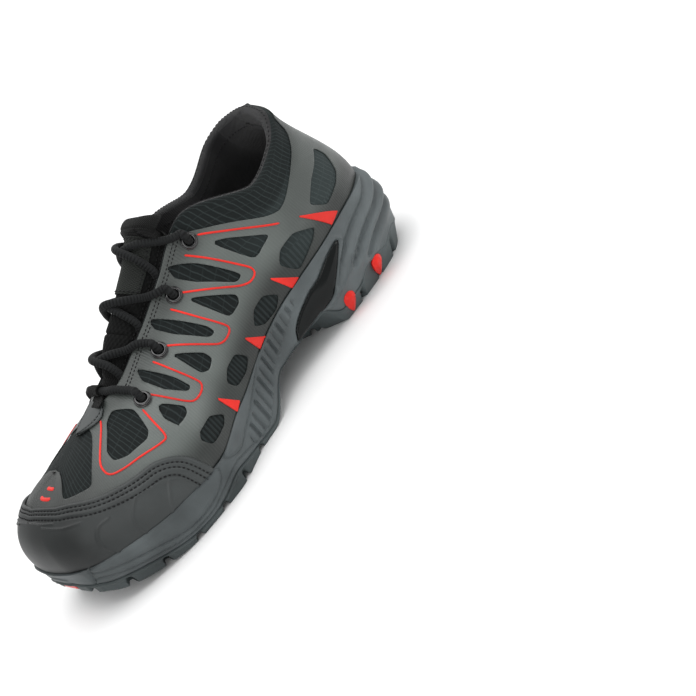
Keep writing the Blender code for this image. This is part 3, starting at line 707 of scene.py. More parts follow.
# %% Windows in the film
WINDOWS = {
    "heel": [(10.58, 0.53), (10.62, 0.40), (10.35, 0.26), (10.05, 0.21), (9.62, 0.18), (9.38, 0.36),
             (9.78, 0.46)],
    "slot_4": [(8.80, 0.33), (9.12, 0.18), (8.97, 0.12), (8.50, 0.04), (8.32, 0.20), (8.50, 0.29)],
    "slot_3": [(7.76, 0.165), (7.95, 0.065), (7.78, 0.02), (7.50, 0.045), (7.33, 0.12), (7.50, 0.175)],
    "slot_2": [(6.65, 0.19), (6.80, 0.08), (6.58, 0.055), (6.25, 0.085), (6.16, 0.17), (6.35, 0.21)],
    "slot_1": [(5.43, 0.215), (5.65, 0.105), (5.55, 0.08), (5.16, 0.11), (5.07, 0.20), (5.14, 0.235)],
    "fan_4": [(7.92, 0.695), (8.53, 0.467), (8.43, 0.435), (8.16, 0.370)],
    "fan_3": [(6.95, 0.705), (7.50, 0.350), (7.43, 0.312), (7.16, 0.335)],
    "fan_2": [(5.92, 0.650), (6.28, 0.430), (6.30, 0.358), (6.12, 0.345), (5.99, 0.390)],
    "fan_1": [(5.04, 0.590), (5.26, 0.415), (5.20, 0.388), (5.00, 0.395), (4.94, 0.500)],
    "gap_3": [(7.23, 0.94), (7.50, 0.73), (7.75, 0.45), (7.79, 0.385), (7.68, 0.395), (7.30, 0.68),
              (7.16, 0.86)],
    "gap_2": [(6.25, 0.95), (6.50, 0.71), (6.73, 0.475), (6.74, 0.412), (6.62, 0.435), (6.28, 0.70),
              (6.16, 0.88)],
    "gap_1": [(5.33, 0.88), (5.40, 0.76), (5.56, 0.55), (5.61, 0.43), (5.53, 0.445), (5.30, 0.61),
              (5.22, 0.80)],
    "vamp": [(4.42, 0.84), (4.69, 0.72), (4.55, 0.525), (4.42, 0.49), (3.95, 0.505), (3.72, 0.56),
             (3.73, 0.64), (4.12, 0.78)],
    "toe": [(3.95, 1.2), (3.73, 0.84), (3.28, 0.675), (2.98, 0.56), (2.70, 0.58), (2.20, 0.62),
            (2.27, 0.80), (2.20, 0.90), (1.95, 0.955), (1.42, 1.0), (1.42, 1.2)],
    "collar": [(7.66, 1.2), (7.70, 0.95), (8.05, 0.81), (8.43, 0.725), (8.72, 0.645), (8.92, 0.617),
               (9.12, 0.633), (9.50, 0.70), (10.28, 0.808), (10.66, 0.86), (10.95, 1.2)],
}
CORNER = 0.0012
FILM_HEIGHT = 0.0001
FILM_THICKNESS = 0.00038


def rounded(corners, times=2, closed=True, bite=0.25):
    """Cuts the corners off a line, which rounds it; the first cuts take off a share called the bite."""
    points = np.asarray(corners, float)
    for cuts in range(times):
        share = 0.25 if cuts else bite
        start, end = (points, np.roll(points, -1, 0)) if closed else (points[:-1], points[1:])
        cut = np.stack([mix(start, end, share), mix(end, start, share)], 1).reshape(-1, 2)
        points = cut if closed else np.concatenate([points[:1], cut[1:-1], points[-1:]])
    return points


SMOOTH_WINDOWS = [rounded(corners, 2, True, 0.12) for corners in WINDOWS.values()]


def window_distance(points):
    return np.min([polygon_distance(points, corners) for corners in SMOOTH_WINDOWS], axis=0) - CORNER / 2


def film_surface(side):
    return lambda t, v: on_upper(t * side, v, FILM_HEIGHT)


def make_film():
    whole = bmesh.new()
    for side in (1, -1):
        half = flat_grid(0.0, LAST_ROW, 0.0, 1.0, 0.0012)
        cut_flat(half, lambda spots: -window_distance(spots))
        mark_flat(half)
        lay(half, film_surface(side))
        if side < 0:
            bmesh.ops.reverse_faces(half, faces=half.faces)
        join(whole, half)
    film = piece("upper_film", whole, FILM, 60, 1e-5)
    return give_wall(film, FILM_THICKNESS)


def join(whole, part):
    """Adds one bmesh to another."""
    mesh = bpy.data.meshes.new("joining")
    part.to_mesh(mesh)
    part.free()
    whole.from_mesh(mesh)
    bpy.data.meshes.remove(mesh)


make_film()

# %% [markdown]
# ## Lines, tubes and stitches
# Piping and laces are tubes along a line, and a seam is a row of short capsules. A line is drawn with few
# corners, and cutting those corners off again and again makes it bend as cord and thread do.

# %% Lines, tubes and stitches
def walk(path, pitch):
    """Even places along a line of the pattern."""
    p = np.asarray(path) * SCALE
    reach = np.r_[0, np.cumsum(np.linalg.norm(np.diff(p, axis=0), axis=1))]
    marks = np.linspace(0, reach[-1], max(2, round(reach[-1] / pitch)) + 1)
    return np.stack([np.interp(marks, reach, p[:, i]) for i in (0, 1)], 1) / SCALE


def unit(vectors):
    return vectors / np.maximum(np.linalg.norm(vectors, axis=-1, keepdims=True), 1e-12)


def cross_frames(points):
    """Two directions across a line at every point, which turn as little as they can."""
    along = unit(np.gradient(points, axis=0))
    first = np.cross(along[0], (0.3, 0.5, 0.8))
    across = []
    for direction in along:
        first = unit(first - direction * (first @ direction))
        across.append(first)
    across = np.array(across)
    return across, np.cross(along, across)


def tube(points, radius, sides=8, squeeze=1.0, normals=None):
    """A round bar along points with rounded ends; squeeze flattens it along the normals."""
    points = np.asarray(points)
    bm = bmesh.new()
    bmesh.ops.create_grid(bm, x_segments=len(points) - 1, y_segments=sides, size=0.5)
    across, up = cross_frames(points)
    if normals is not None:
        up = unit(normals)
        across = np.cross(up, unit(np.gradient(points, axis=0)))
    reach = np.r_[0, np.cumsum(np.linalg.norm(np.diff(points, axis=0), axis=1))]
    depth = np.clip(np.minimum(reach, reach[-1] - reach) / radius, 0, 1)
    size = radius * np.sqrt(depth * (2 - depth))
    layer = bm.loops.layers.uv.new("flat")
    for face in bm.faces:
        for loop in face.loops:
            i = round((loop.vert.co.x + 0.5) * (len(points) - 1))
            loop[layer].uv = (reach[i], loop.vert.co.y + 0.5)
    for vertex in bm.verts:
        i = round((vertex.co.x + 0.5) * (len(points) - 1))
        turn = (vertex.co.y + 0.5) * 2 * math.pi
        sideways = across[i] * math.cos(turn) + up[i] * (math.sin(turn) * squeeze)
        vertex.co = points[i] + sideways * size[i]
    bmesh.ops.remove_doubles(bm, verts=bm.verts, dist=1e-6)
    bmesh.ops.recalc_face_normals(bm, faces=bm.faces)
    return bm


def sew(bm, path, height, pitch=0.0026, thick=0.0009):
    """A row of stitches along a line of the pattern, one small capsule each."""
    spots = walk(path, 0.0012)
    points = on_upper(spots[:, 0], spots[:, 1], np.full(len(spots), height))
    sew_points(bm, points, skin_normal(spots[:, 0], spots[:, 1]), pitch, thick)


def sew_points(bm, points, normals, pitch=0.0026, thick=0.0009):
    """Stitches along a line of points in space."""
    reach = np.r_[0, np.cumsum(np.linalg.norm(np.diff(points, axis=0), axis=1))]
    marks = np.linspace(0, reach[-1], max(2, round(reach[-1] / pitch)) + 1)
    centre = np.stack([np.interp(marks, reach, points[:, i]) for i in range(3)], 1)
    up = unit(np.stack([np.interp(marks, reach, normals[:, i]) for i in range(3)], 1))
    along = unit(np.gradient(centre, axis=0))
    across = np.cross(up, along)
    for c, a, b, n in zip(centre, along * pitch * 0.38, across * thick / 2, up * thick / 2):
        turned = Matrix((a, b, n)).transposed().to_4x4()
        bmesh.ops.create_icosphere(bm, subdivisions=1, radius=1.0, matrix=Matrix.Translation(c) @ turned)


def beside(path, distance):
    """The line of the pattern that runs at a distance in metres to the right of a path."""
    p = np.asarray(path) * SCALE
    along = unit(np.gradient(p, axis=0))
    return (p + np.stack([along[:, 1], -along[:, 0]], 1) * distance) / SCALE


def thread_piece(name, rows):
    bm = bmesh.new()
    for path, height in rows:
        sew(bm, path, height)
    return piece(name, bm, THREAD, 80, None)


# %% [markdown]
# ## Toe cap
# A coated leather cap covers the safety toe. Its edge is sewn with three rows, the leather is padded up
# between them, and fine raised arcs are pressed into its side.

# %% Cap
CAP_SEAM = [(0.0, 0.665), (1.03, 0.668), (2.20, 0.575), (2.90, 0.458), (3.38, 0.408), (3.78, 0.367),
            (4.22, 0.342), (4.55, 0.275), (4.75, 0.175), (4.92, -0.06)]
CAP_ARCS = [
    [(0.05, 0.530), (0.8, 0.520), (1.7, 0.465)],
    [(1.18, 0.467), (1.88, 0.400), (2.40, 0.358)],
    [(2.90, 0.267), (2.66, 0.267), (2.50, 0.190), (2.50, 0.080), (2.66, 0.0)],
    [(3.52, 0.255), (3.28, 0.180), (3.20, 0.080), (3.26, 0.0)],
    [(4.15, 0.180), (3.95, 0.085), (3.84, 0.0)],
    [(3.55, 0.262), (4.00, 0.225), (4.40, 0.120), (4.48, 0.0)],
]
CAP_ROWS = (0.0030, 0.0054, 0.0092)
CAP_LIFT = CAP_THICKNESS + 0.0004


def both_sides(path):
    """A line that starts on the ridge over the toes, made whole: inner side, ridge, outer side."""
    path = np.asarray(path, float)
    return np.concatenate([path[:0:-1] * (-1, 1), path])


CAP_LINE = both_sides(rounded(CAP_SEAM, 3, closed=False))
CAP_OUTLINE = np.concatenate([CAP_LINE, [(5.3, -0.4), (-5.3, -0.4)]])


def cap_relief(u, v):
    """The cap's height over the fabric: a thin edge, a padded band, the pulled-in seams and the arcs."""
    spots = np.stack([u, v], 1)
    inside = -polygon_distance(spots, CAP_OUTLINE)
    height = CAP_LIFT - 0.0008 * (1 - np.clip(inside / 0.0011, 0, 1)) ** 2
    band_end = ease(inside, CAP_ROWS[2] - 0.001, CAP_ROWS[2] + 0.002)
    height += 0.0006 * ease(inside, 0.0, 0.002) * (1 - band_end)
    for row in CAP_ROWS:
        height -= 0.0008 * np.exp(-(((inside - row) / 0.0006) ** 2))
    folded = np.stack([np.abs(u), v], 1)
    for arc in CAP_ARCS:
        away = line_distance(folded, rounded(arc, 2, closed=False))
        height += 0.0007 * np.exp(-((away / 0.0006) ** 2))
    return height


def make_cap():
    bm = flat_grid(-5.1, 5.1, 0.0, 0.70, 0.0006)
    cut_flat(bm, lambda spots: polygon_distance(spots, CAP_OUTLINE))
    mark_flat(bm)
    lay(bm, lambda u, v: on_upper(u, v, cap_relief(u, v)))
    cap = piece("toe_cap_leather", bm, LEATHER, 60, 1e-6)
    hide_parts("toe_cap")
    return give_wall(cap, CAP_THICKNESS, -1.0)


make_cap()
CAP_STITCH = CAP_LIFT + 0.0001
thread_piece("cap_stitches", [(beside(CAP_LINE, row), CAP_STITCH) for row in CAP_ROWS])

# %% [markdown]
# ## Red trim
# A thin red cord is welded along the lacing rays, one line to a side of every ray, and short red wedges
# rise from the sole between the slots. Two plain red bars sit over the toes.

# %% Piping, wedges and bars
PIPES = [
    [(7.88, 0.812), (8.15, 0.700), (8.45, 0.608), (8.78, 0.500)],
    [(7.52, 0.835), (7.65, 0.700), (7.92, 0.430), (8.01, 0.345), (7.95, 0.295), (7.73, 0.308),
     (7.38, 0.517), (6.98, 0.775)],
    [(6.62, 0.815), (6.76, 0.600), (6.96, 0.370), (7.00, 0.310), (6.90, 0.290), (6.66, 0.315),
     (6.48, 0.417), (5.96, 0.750)],
    [(5.58, 0.790), (5.65, 0.617), (5.80, 0.405), (5.82, 0.350), (5.70, 0.330), (5.48, 0.355),
     (5.36, 0.415), (5.20, 0.558), (5.06, 0.715)],
    [(4.80, 0.665), (4.74, 0.533), (4.71, 0.400), (4.60, 0.392), (4.20, 0.422), (3.76, 0.458),
     (3.45, 0.505), (3.43, 0.585), (3.48, 0.630), (3.66, 0.700), (4.10, 0.850)],
]
PIPE_RADIUS = 0.00060
PIPE_HEIGHT = FILM_HEIGHT + FILM_THICKNESS + 0.0002
WEDGES = [
    [(9.08, 0.395), (9.66, 0.042), (9.42, 0.020)],
    [(8.06, 0.190), (8.38, 0.010), (8.21, 0.000)],
    [(7.03, 0.155), (7.30, 0.008), (7.10, 0.000)],
    [(5.80, 0.190), (6.06, 0.020), (5.90, 0.000)],
]
BARS = [[(1.25, 0.835), (1.90, 0.768)], [(0.55, 0.775), (1.65, 0.700)]]


def make_piping():
    whole = bmesh.new()
    for side in (1, -1):
        for pipe in PIPES:
            lower = 0.08 if side < 0 and pipe is PIPES[-1] else 0.0
            spots = walk((rounded(pipe, 3, closed=False) - (0.0, lower)) * (side, 1), 0.0011)
            points = on_upper(spots[:, 0], spots[:, 1], PIPE_HEIGHT)
            normals = skin_normal(spots[:, 0], spots[:, 1])
            join(whole, tube(points, PIPE_RADIUS, 8, 0.7, normals))
    return piece("red_piping", whole, RED_TRIM, 60, None)


def make_wedges():
    whole = bmesh.new()
    for side in (1, -1):
        for wedge in WEDGES:
            corners = np.asarray(wedge)
            low, high = corners.min(0) - 0.02, corners.max(0) + 0.02
            bm = flat_grid(low[0], high[0], max(0.0, low[1]), high[1], 0.0008)
            cut_flat(bm, lambda spots: polygon_distance(spots, corners) - 0.0003)
            mark_flat(bm)
            lay(bm, lambda u, v: on_upper(u * side, v, FILM_HEIGHT + FILM_THICKNESS))
            if side < 0:
                bmesh.ops.reverse_faces(bm, faces=bm.faces)
            join(whole, bm)
    return give_wall(piece("red_wedges", whole, RED_TRIM, 60, 1e-6), 0.0004)


def make_bars():
    whole = bmesh.new()
    for bar in BARS:
        spots = walk(bar, 0.001)
        points = on_upper(spots[:, 0], spots[:, 1], FILM_HEIGHT + FILM_THICKNESS)
        join(whole, tube(points, 0.0011, 10, 0.3, skin_normal(spots[:, 0], spots[:, 1])))
    return piece("toe_bars", whole, RED_TRIM, 60, None)


make_piping()
make_wedges()
make_bars()

# %% [markdown]
# ## The sole's side
# The sole is moulded in two rubbers. Its side is drawn like the upper, with t along it and w up it: -1 on
# the ground, 0 where the tread layer ends, and 1 at the rim. Lenses, ribs, flutes and lugs are reliefs of
# that side: a distance to a drawn line becomes a groove, a bead or a swelling.

# %% Sole sizes and lines
LUG_DEPTH = 0.0034
LUG_GAP = 0.0050
LUG_FLANK = 0.0012
FOREFOOT_LUGS = 8
HEEL_LUGS = 5
RIB_PITCH = 0.0058
SOLE_COLUMNS = 900
FINE_ROWS = np.linspace(0, LAST_ROW, 961)
ARC = np.r_[0, np.cumsum(np.linalg.norm(np.diff(foot_edge(FINE_ROWS), axis=0), axis=1))]
LIP = [(0.0, -0.30), (1.53, -0.33), (2.62, -0.22), (3.28, -0.42), (3.95, -0.66), (4.45, -0.72),
       (4.80, -0.48), (5.05, -0.14), (5.25, -0.14), (5.60, -0.52), (6.10, -0.78), (7.90, -0.80),
       (8.25, -0.45), (8.60, -0.10), (9.10, -0.02), (9.50, 0.22), (9.95, 0.02), (10.4, 0.16),
       (11.0, 0.02), (12.0, 0.08)]
FRONT_LENS = [(1.78, 0.97), (1.73, 0.58), (2.50, 0.38), (3.12, 0.24), (3.75, -0.04), (4.15, -0.22),
              (4.55, -0.10), (4.80, 0.15), (4.93, 0.50), (4.94, 0.90), (4.80, 1.02), (3.40, 1.02)]
BALL_LENS = [(5.08, 1.02), (5.14, 0.75), (5.30, 0.38), (5.52, 0.18), (5.73, 0.36), (5.98, 0.50),
             (6.40, 0.80), (6.83, 0.95), (7.15, 1.02)]
FRONT_LINE = [(1.65, -0.05), (1.80, 0.20), (2.38, 0.02), (3.00, -0.08), (3.62, -0.38), (4.10, -0.50),
              (4.45, -0.50), (4.80, -0.10), (5.16, 0.22), (5.48, 0.00), (5.80, -0.40)]
GUARD_EDGE = [(1.90, 1.05), (1.78, 0.60), (1.62, -0.10), (1.52, -0.40)]
RIB_AREA = [(5.75, 0.28), (5.98, 0.42), (6.40, 0.74), (6.83, 0.88), (7.20, 0.93), (8.20, 0.92),
            (8.05, 0.68), (7.53, 0.34), (6.80, 0.02), (6.05, -0.62), (5.72, -0.40)]
HEEL_GROOVES = [
    [(11.2, 0.98), (10.75, 0.90), (10.3, 0.81), (9.65, 0.77), (9.15, 0.66), (8.75, 0.40)],
    [(12.0, 0.76), (11.2, 0.72), (10.4, 0.64), (9.9, 0.60), (9.50, 0.52), (9.2, 0.40)],
    [(12.0, 0.44), (11.2, 0.44), (10.6, 0.44), (10.1, 0.42), (9.75, 0.34), (9.55, 0.24)],
]
STIPPLE = [(9.50, 0.60), (9.20, 0.60), (8.83, 0.55), (8.43, 0.30), (8.22, 0.03), (8.05, -0.45),
           (8.25, -0.45), (8.55, 0.12), (9.00, 0.36), (9.43, 0.34), (9.70, 0.42)]
PLATE_SHAPE = [(9.36, 0.88), (8.85, 0.84), (8.40, 0.66), (7.86, 0.34), (7.70, 0.0), (7.72, -0.72),
               (8.06, -0.76), (8.24, -0.2), (8.55, 0.30), (9.00, 0.66)]


def row_at(f):
    return float(np.interp(-f, -column("f", FINE_ROWS), FINE_ROWS))


def along_rim(t):
    return np.interp(t, FINE_ROWS, ARC)


def bars(s, start, end, count, gap, flank):
    """1 in the gaps between evenly spaced bars and 0 on them."""
    pitch = (end - start) / count
    off = np.abs((s - start + pitch / 2) % pitch - pitch / 2)
    live = (s > start + pitch / 2) & (s < end - pitch / 2)
    return np.clip((gap / 2 - off) / flank, 0, 1) * live


FOREFOOT_END = along_rim(row_at(ARCH_END[1] - 0.02))
HEEL_START = along_rim(row_at(HEEL_BREAST[0] + 0.01))


def lug_gap(t):
    s = along_rim(t)
    front = bars(s, 0.0, FOREFOOT_END, FOREFOOT_LUGS, LUG_GAP, LUG_FLANK)
    return np.maximum(front, bars(s, HEEL_START, ARC[-1], HEEL_LUGS, LUG_GAP, LUG_FLANK))


def side_height(t, w):
    low = mix(ground(t), split(t), w + 1)
    return np.where(w < 0, low, mix(split(t), rim(t), w))


def side_flat(t, w):
    """The sole's side laid flat, in metres: distance from the toe, and height."""
    t, w = np.broadcast_arrays(np.asarray(t, float), np.asarray(w, float))
    return np.stack([along_rim(t), side_height(t, w)], -1)


def side_line(corners, times=2, closed=False):
    path = rounded(corners, times, closed)
    return side_flat(path[:, 0], path[:, 1])


def line_gap(flat, line):
    return np.min([segment_distance(flat, a, b) for a, b in zip(line, line[1:])], axis=0)


def area_gap(flat, corners):
    return polygon_distance(flat / SCALE, side_line(corners, 2, True) / SCALE)


def bead(distance, width):
    return np.exp(-((distance / width) ** 2))


def side_base(t, w):
    """How far the plain side stands out from the outline of the tread."""
    flare = mix(HEEL_FLARE, FORE_FLARE, fore(t))
    foot = mix(HEEL_FLARE * 0.62, FORE_FLARE * 0.8, fore(t))
    share = np.clip(w, 0, 1)
    swell = np.sin(math.pi * share)
    middle = mix(foot, rim_out(t), share) + (flare - (foot + rim_out(t)) / 2) * swell
    return np.where(w < 0, foot * (w + 1), middle)


def lip_at(t):
    """The height share of the edge between tread and midsole."""
    return np.interp(t, *np.array(rounded(LIP, 2, False)).T)


def side_relief(t, w):
    """How far lenses, ribs, grooves and the lip stand out from the plain side, in metres."""
    flat = side_flat(t, w)
    s = flat[:, 0]
    relief = np.zeros_like(s)
    for lens, swell in ((FRONT_LENS, 0.0009), (BALL_LENS, 0.0009)):
        inside = -area_gap(flat, lens)
        relief += swell * ease(inside, 0.0, 0.0035) - 0.0008 * bead(inside, 0.0006)
    relief -= 0.0009 * bead(line_gap(flat, side_line(FRONT_LINE)), 0.0007)
    relief -= 0.0011 * bead(line_gap(flat, side_line(GUARD_EDGE)), 0.0006)
    relief += 0.0006 * (1 - ease(s, along_rim(1.55), along_rim(1.7)))
    ribbed = ease(-area_gap(flat, RIB_AREA), 0.0, 0.0012)
    rib = ease(np.cos(2 * math.pi * s / RIB_PITCH), -0.75, -0.05)
    relief += ribbed * (0.0016 * rib - 0.0010)
    for groove in HEEL_GROOVES:
        away = line_gap(flat, side_line(groove))
        relief += 0.0016 * bead(away - 0.0042, 0.0030) - 0.0016 * bead(away, 0.0016)
    dots = np.cos(2 * math.pi * s / 0.0026) * np.cos(2 * math.pi * flat[:, 1] / 0.0026)
    relief += ease(-area_gap(flat, STIPPLE), 0.0, 0.001) * (0.0005 * dots + 0.0004)
    away = flat[:, 1] - side_height(t, lip_at(t))
    relief += 0.0008 * bead(away + 0.0012, 0.0011) - 0.0009 * bead(away, 0.0005)
    low_toe = (1 - ease(s, 0.0085, 0.0095)) * (1 - ease(w, -0.50, -0.42))
    relief = relief * (1 - low_toe) - 0.0006 * low_toe
    relief += 0.0006 * (1 - ease(s, 0.0085, 0.0110)) * ease(w, -0.46, -0.40) * (1 - ease(w, 0.0, 0.1))
    plate = -area_gap(flat, PLATE_SHAPE)
    relief = relief * (1 - ease(plate, -0.002, 0.0)) - 0.0007 * ease(plate, -0.0008, 0.0002)
    return relief + 0.0010 * bead(plate + 0.0016, 0.0010)


def side_point(u, w, inset=0.0):
    t, _ = around(u)
    out = side_base(t, w) + side_relief(t, w) - inset
    return with_height(foot_edge(u) + outward(u) * out[:, None], side_height(t, w))


def spine(t):
    """The middle line of the sole, drawn in from both ends."""
    f = 0.5 + (column("f", t) - 0.5) * 0.78
    return np.stack([column("mid", t) * BALL_WIDTH - BOX_MIDDLE_X, LENGTH * (BOX_MIDDLE - f)], -1)


def sole_ring(rows, profile):
    """A sheet round the whole shoe with even columns; profile gives the points of one row number."""
    bm = bmesh.new()
    bmesh.ops.create_grid(bm, x_segments=SOLE_COLUMNS, y_segments=rows, size=0.5)
    flat = places(bm) + 0.5
    s = flat[:, 0] * 2 * ARC[-1]
    t = np.interp(np.minimum(s, 2 * ARC[-1] - s), ARC, FINE_ROWS)
    u = np.where(flat[:, 0] <= 0.5, t, ROUND - t)
    points = profile(u, np.rint(flat[:, 1] * rows))
    layer = bm.loops.layers.uv.new("flat")
    for vertex in bm.verts:
        vertex.co.z = 0.0
    for face in bm.faces:
        for loop in face.loops:
            loop[layer].uv = ((loop.vert.co.x + 0.5) * 2 * ARC[-1], (loop.vert.co.y + 0.5) * 0.05)
    for vertex, point in zip(bm.verts, points):
        vertex.co = point
    bmesh.ops.remove_doubles(bm, verts=bm.verts, dist=1e-6)
    return bm


# %% [markdown]
# ## Midsole and tread
# The midsole runs from the lip up to the rim and in over the ledge to the footbed. The tread layer runs
# from the middle of the sole out over the lugs, up their flanks and to the lip.

# %% Midsole
SIDE_ROWS = 44
LEDGE_ROWS = 5


def midsole_profile(u, row):
    """Row 0 is hidden behind the lip, then come the side, the ledge, the footbed's edge and the footbed."""
    t, _ = around(u)
    share = np.clip((row - 1) / SIDE_ROWS, 0, 1)
    w = mix(lip_at(t), 1.0, share)
    side = side_point(u, w, np.where(row == 0, 0.004, 0.0))
    ledge = with_height(foot_edge(u) + outward(u) * (rim_out(t) - LEDGE_WIDTH)[:, None], rim(t) - 0.0004)
    bed = with_height(foot_edge(u) + outward(u) * (rim_out(t) - LEDGE_WIDTH - 0.006)[:, None], footbed(t))
    centre = with_height(spine(t), footbed(t))
    after = row - SIDE_ROWS - 1
    points = np.where((after == 1)[:, None], ledge, side)
    points = np.where((after == 2)[:, None], bed, points)
    inwards = (np.clip(after - 2, 0, 2) / 2)[:, None]
    return np.where((after >= 3)[:, None], mix(bed, centre, inwards), points)


midsole_ring = sole_ring(SIDE_ROWS + LEDGE_ROWS, midsole_profile)
midsole = piece("midsole_rubber", midsole_ring, MIDSOLE_RUBBER, 50)
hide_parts("midsole", "toe_bumper")

# %% [markdown]
# The tread is cut by height alone. Gaps between the outer lugs follow the edge at an even pitch, a channel
# parts them from the middle, and the middle has chevrons.

# %% Tread
BOTTOM_ROWS = 30
FLANK_ROWS = 16
TREAD_PITCH = 0.0135


def tread_height(u, q):
    """How far the tread is cut away at a share q of the way from the middle to the edge."""
    t, _ = around(u)
    deep = LUG_DEPTH * (1 - arch(t))
    plan = mix(spine(t), foot_edge(u), q[:, None])
    wave = np.abs(((plan[:, 1] + 0.35 * np.abs(plan[:, 0])) / TREAD_PITCH + 0.25) % 1 - 0.5)
    middle = 1 - ease(wave, 0.10, 0.16)
    channel = ease(q, 0.36, 0.40) * (1 - ease(q, 0.52, 0.57))
    outer = ease(q, 0.53, 0.57)
    gap = np.maximum(lug_gap(t) * outer, middle * (1 - ease(q, 0.36, 0.40)))
    return deep * np.maximum(gap, channel), plan


def outsole_profile(u, row):
    t, _ = around(u)
    q = np.clip(row / BOTTOM_ROWS, 0, 1)
    cut, plan = tread_height(u, q)
    bottom = with_height(plan, ground(t) + cut)
    share = np.clip((row - BOTTOM_ROWS) / FLANK_ROWS, 0, 1)
    w = mix(-1.0, lip_at(t), share)
    side = side_point(u, w, np.where(row > BOTTOM_ROWS + FLANK_ROWS, 0.004, 0.0))
    deep = LUG_DEPTH * (1 - arch(t)) * lug_gap(t)
    top = side_height(t, lip_at(t))
    side[:, 2] = mix(ground(t) + deep, top, share)
    notch = 0.0022 * lug_gap(t) * (1 - arch(t)) * (1 - ease(share, 0.0, 0.8))
    side[:, :2] -= outward(u) * notch[:, None]
    return np.where((row <= BOTTOM_ROWS)[:, None], bottom, side)


outsole_ring = sole_ring(BOTTOM_ROWS + FLANK_ROWS + 1, outsole_profile)
outsole = piece("outsole_rubber", outsole_ring, OUTSOLE_RUBBER, 40)
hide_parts("outsole")

# %% [markdown]
# ## Plates and plugs
# A glossy plate stiffens the waist on each side. It is cut from a flat sheet by its drawn outline and laid
# over the sole's side, a little crowned. The heel's red plugs are made the same way.

# %% Arch plate
def make_plates():
    whole = bmesh.new()
    for side in (1, -1):
        bm = flat_grid(7.6, 9.45, -0.82, 0.95, 0.0012)
        cut_flat(bm, lambda spots: area_gap(side_flat(spots[:, 0], spots[:, 1]), PLATE_SHAPE))
        mark_flat(bm)

        def surface(t, w):
            inside = -area_gap(side_flat(t, w), PLATE_SHAPE)
            lift = 0.0012 + 0.0006 * ease(inside, 0.0, 0.006) - 0.0006 * (1 - ease(inside, 0.0, 0.0012))
            out = side_base(t, w) + lift
            return with_height(foot_edge(t * side) + outward(t * side) * out[:, None], side_height(t, w))

        lay(bm, surface)
        if side < 0:
            bmesh.ops.reverse_faces(bm, faces=bm.faces)
        join(whole, bm)
    plates = give_wall(piece("arch_plates", whole, PLATE, 60, 1e-6), 0.002, -1.0)
    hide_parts("arch_plate_outer", "arch_plate_inner")


make_plates()

# %% Heel plugs
HEEL_PLUGS = (0.162, 0.258)
PLUG_SHAPE = [(0.0, 0.0), (0.0028, 0.0040), (0.0046, 0.0086), (0.0042, 0.0125), (0.0018, 0.0145)]
PLUG_SHAPE += [(-x, z) for x, z in reversed(PLUG_SHAPE[1:])]
PLUG_SHEET = (0.011, 0.016)


def make_heel_plugs():
    """Red drops moulded over the edge between tread and midsole, pointed below."""
    whole = bmesh.new()
    outline = rounded(PLUG_SHAPE, 2, True, 0.2)
    for f in HEEL_PLUGS:
        middle = along_rim(row_at(f))
        for side in (1, -1):
            bm = bmesh.new()
            bmesh.ops.create_grid(bm, x_segments=36, y_segments=44, size=0.5)
            for vertex in bm.verts:
                vertex.co = (vertex.co.x * PLUG_SHEET[0], (vertex.co.y + 0.5) * PLUG_SHEET[1], 0.0)
            cut_flat(bm, lambda spots: polygon_distance(spots / SCALE, outline / SCALE))
            mark_flat(bm)

            def surface(x, z):
                t = np.interp(middle + x, ARC, FINE_ROWS)
                height = ground(t) + 0.0004 + z
                low = (height - ground(t)) / (split(t) - ground(t)) - 1
                w = np.where(height < split(t), low, (height - split(t)) / (rim(t) - split(t)))
                inside = -polygon_distance(np.stack([x, z], 1) / SCALE, outline / SCALE)
                out = side_base(t, w) + 0.0006 + 0.0016 * ease(inside, -0.0002, 0.0030)
                return with_height(foot_edge(t * side) + outward(t * side) * out[:, None], height)

            lay(bm, surface)
            if side < 0:
                bmesh.ops.reverse_faces(bm, faces=bm.faces)
            join(whole, bm)
    plugs = give_wall(piece("heel_plugs", whole, RED_RUBBER, 60, 1e-6), 0.0016, -1.0)
    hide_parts(*(f"heel_plug_{name}_{i}" for name in ("outer", "inner") for i in (1, 2)))


make_heel_plugs()

# %% [markdown]
# ## Tongue
# The tongue is a soft pad that bulges out of the throat and ends in an arched top. It is a closed pillow:
# the grid goes once across its face and once back underneath, and the two meet in a rounded edge.

# %% Tongue
TONGUE_ROWS = (4.5, 7.5)
TONGUE_THICKNESS = 0.0068
TONGUE_CROWN = 0.0125
TONGUE_RISE = 0.0085
TONGUE_LEAN = 0.0095
TONGUE_TOP_HALF = 0.0185
TONGUE_TOP_OUT = 0.0040
TONGUE_BODY = 0.84
FACE_HALF = 0.6
OUT_OF_THROAT = np.array([0.0, -0.68, 0.73])


def flap_inside(t, side, v):
    return over_skin(t * side, v, -wall_at(t, v) - CLEARANCE * 2)


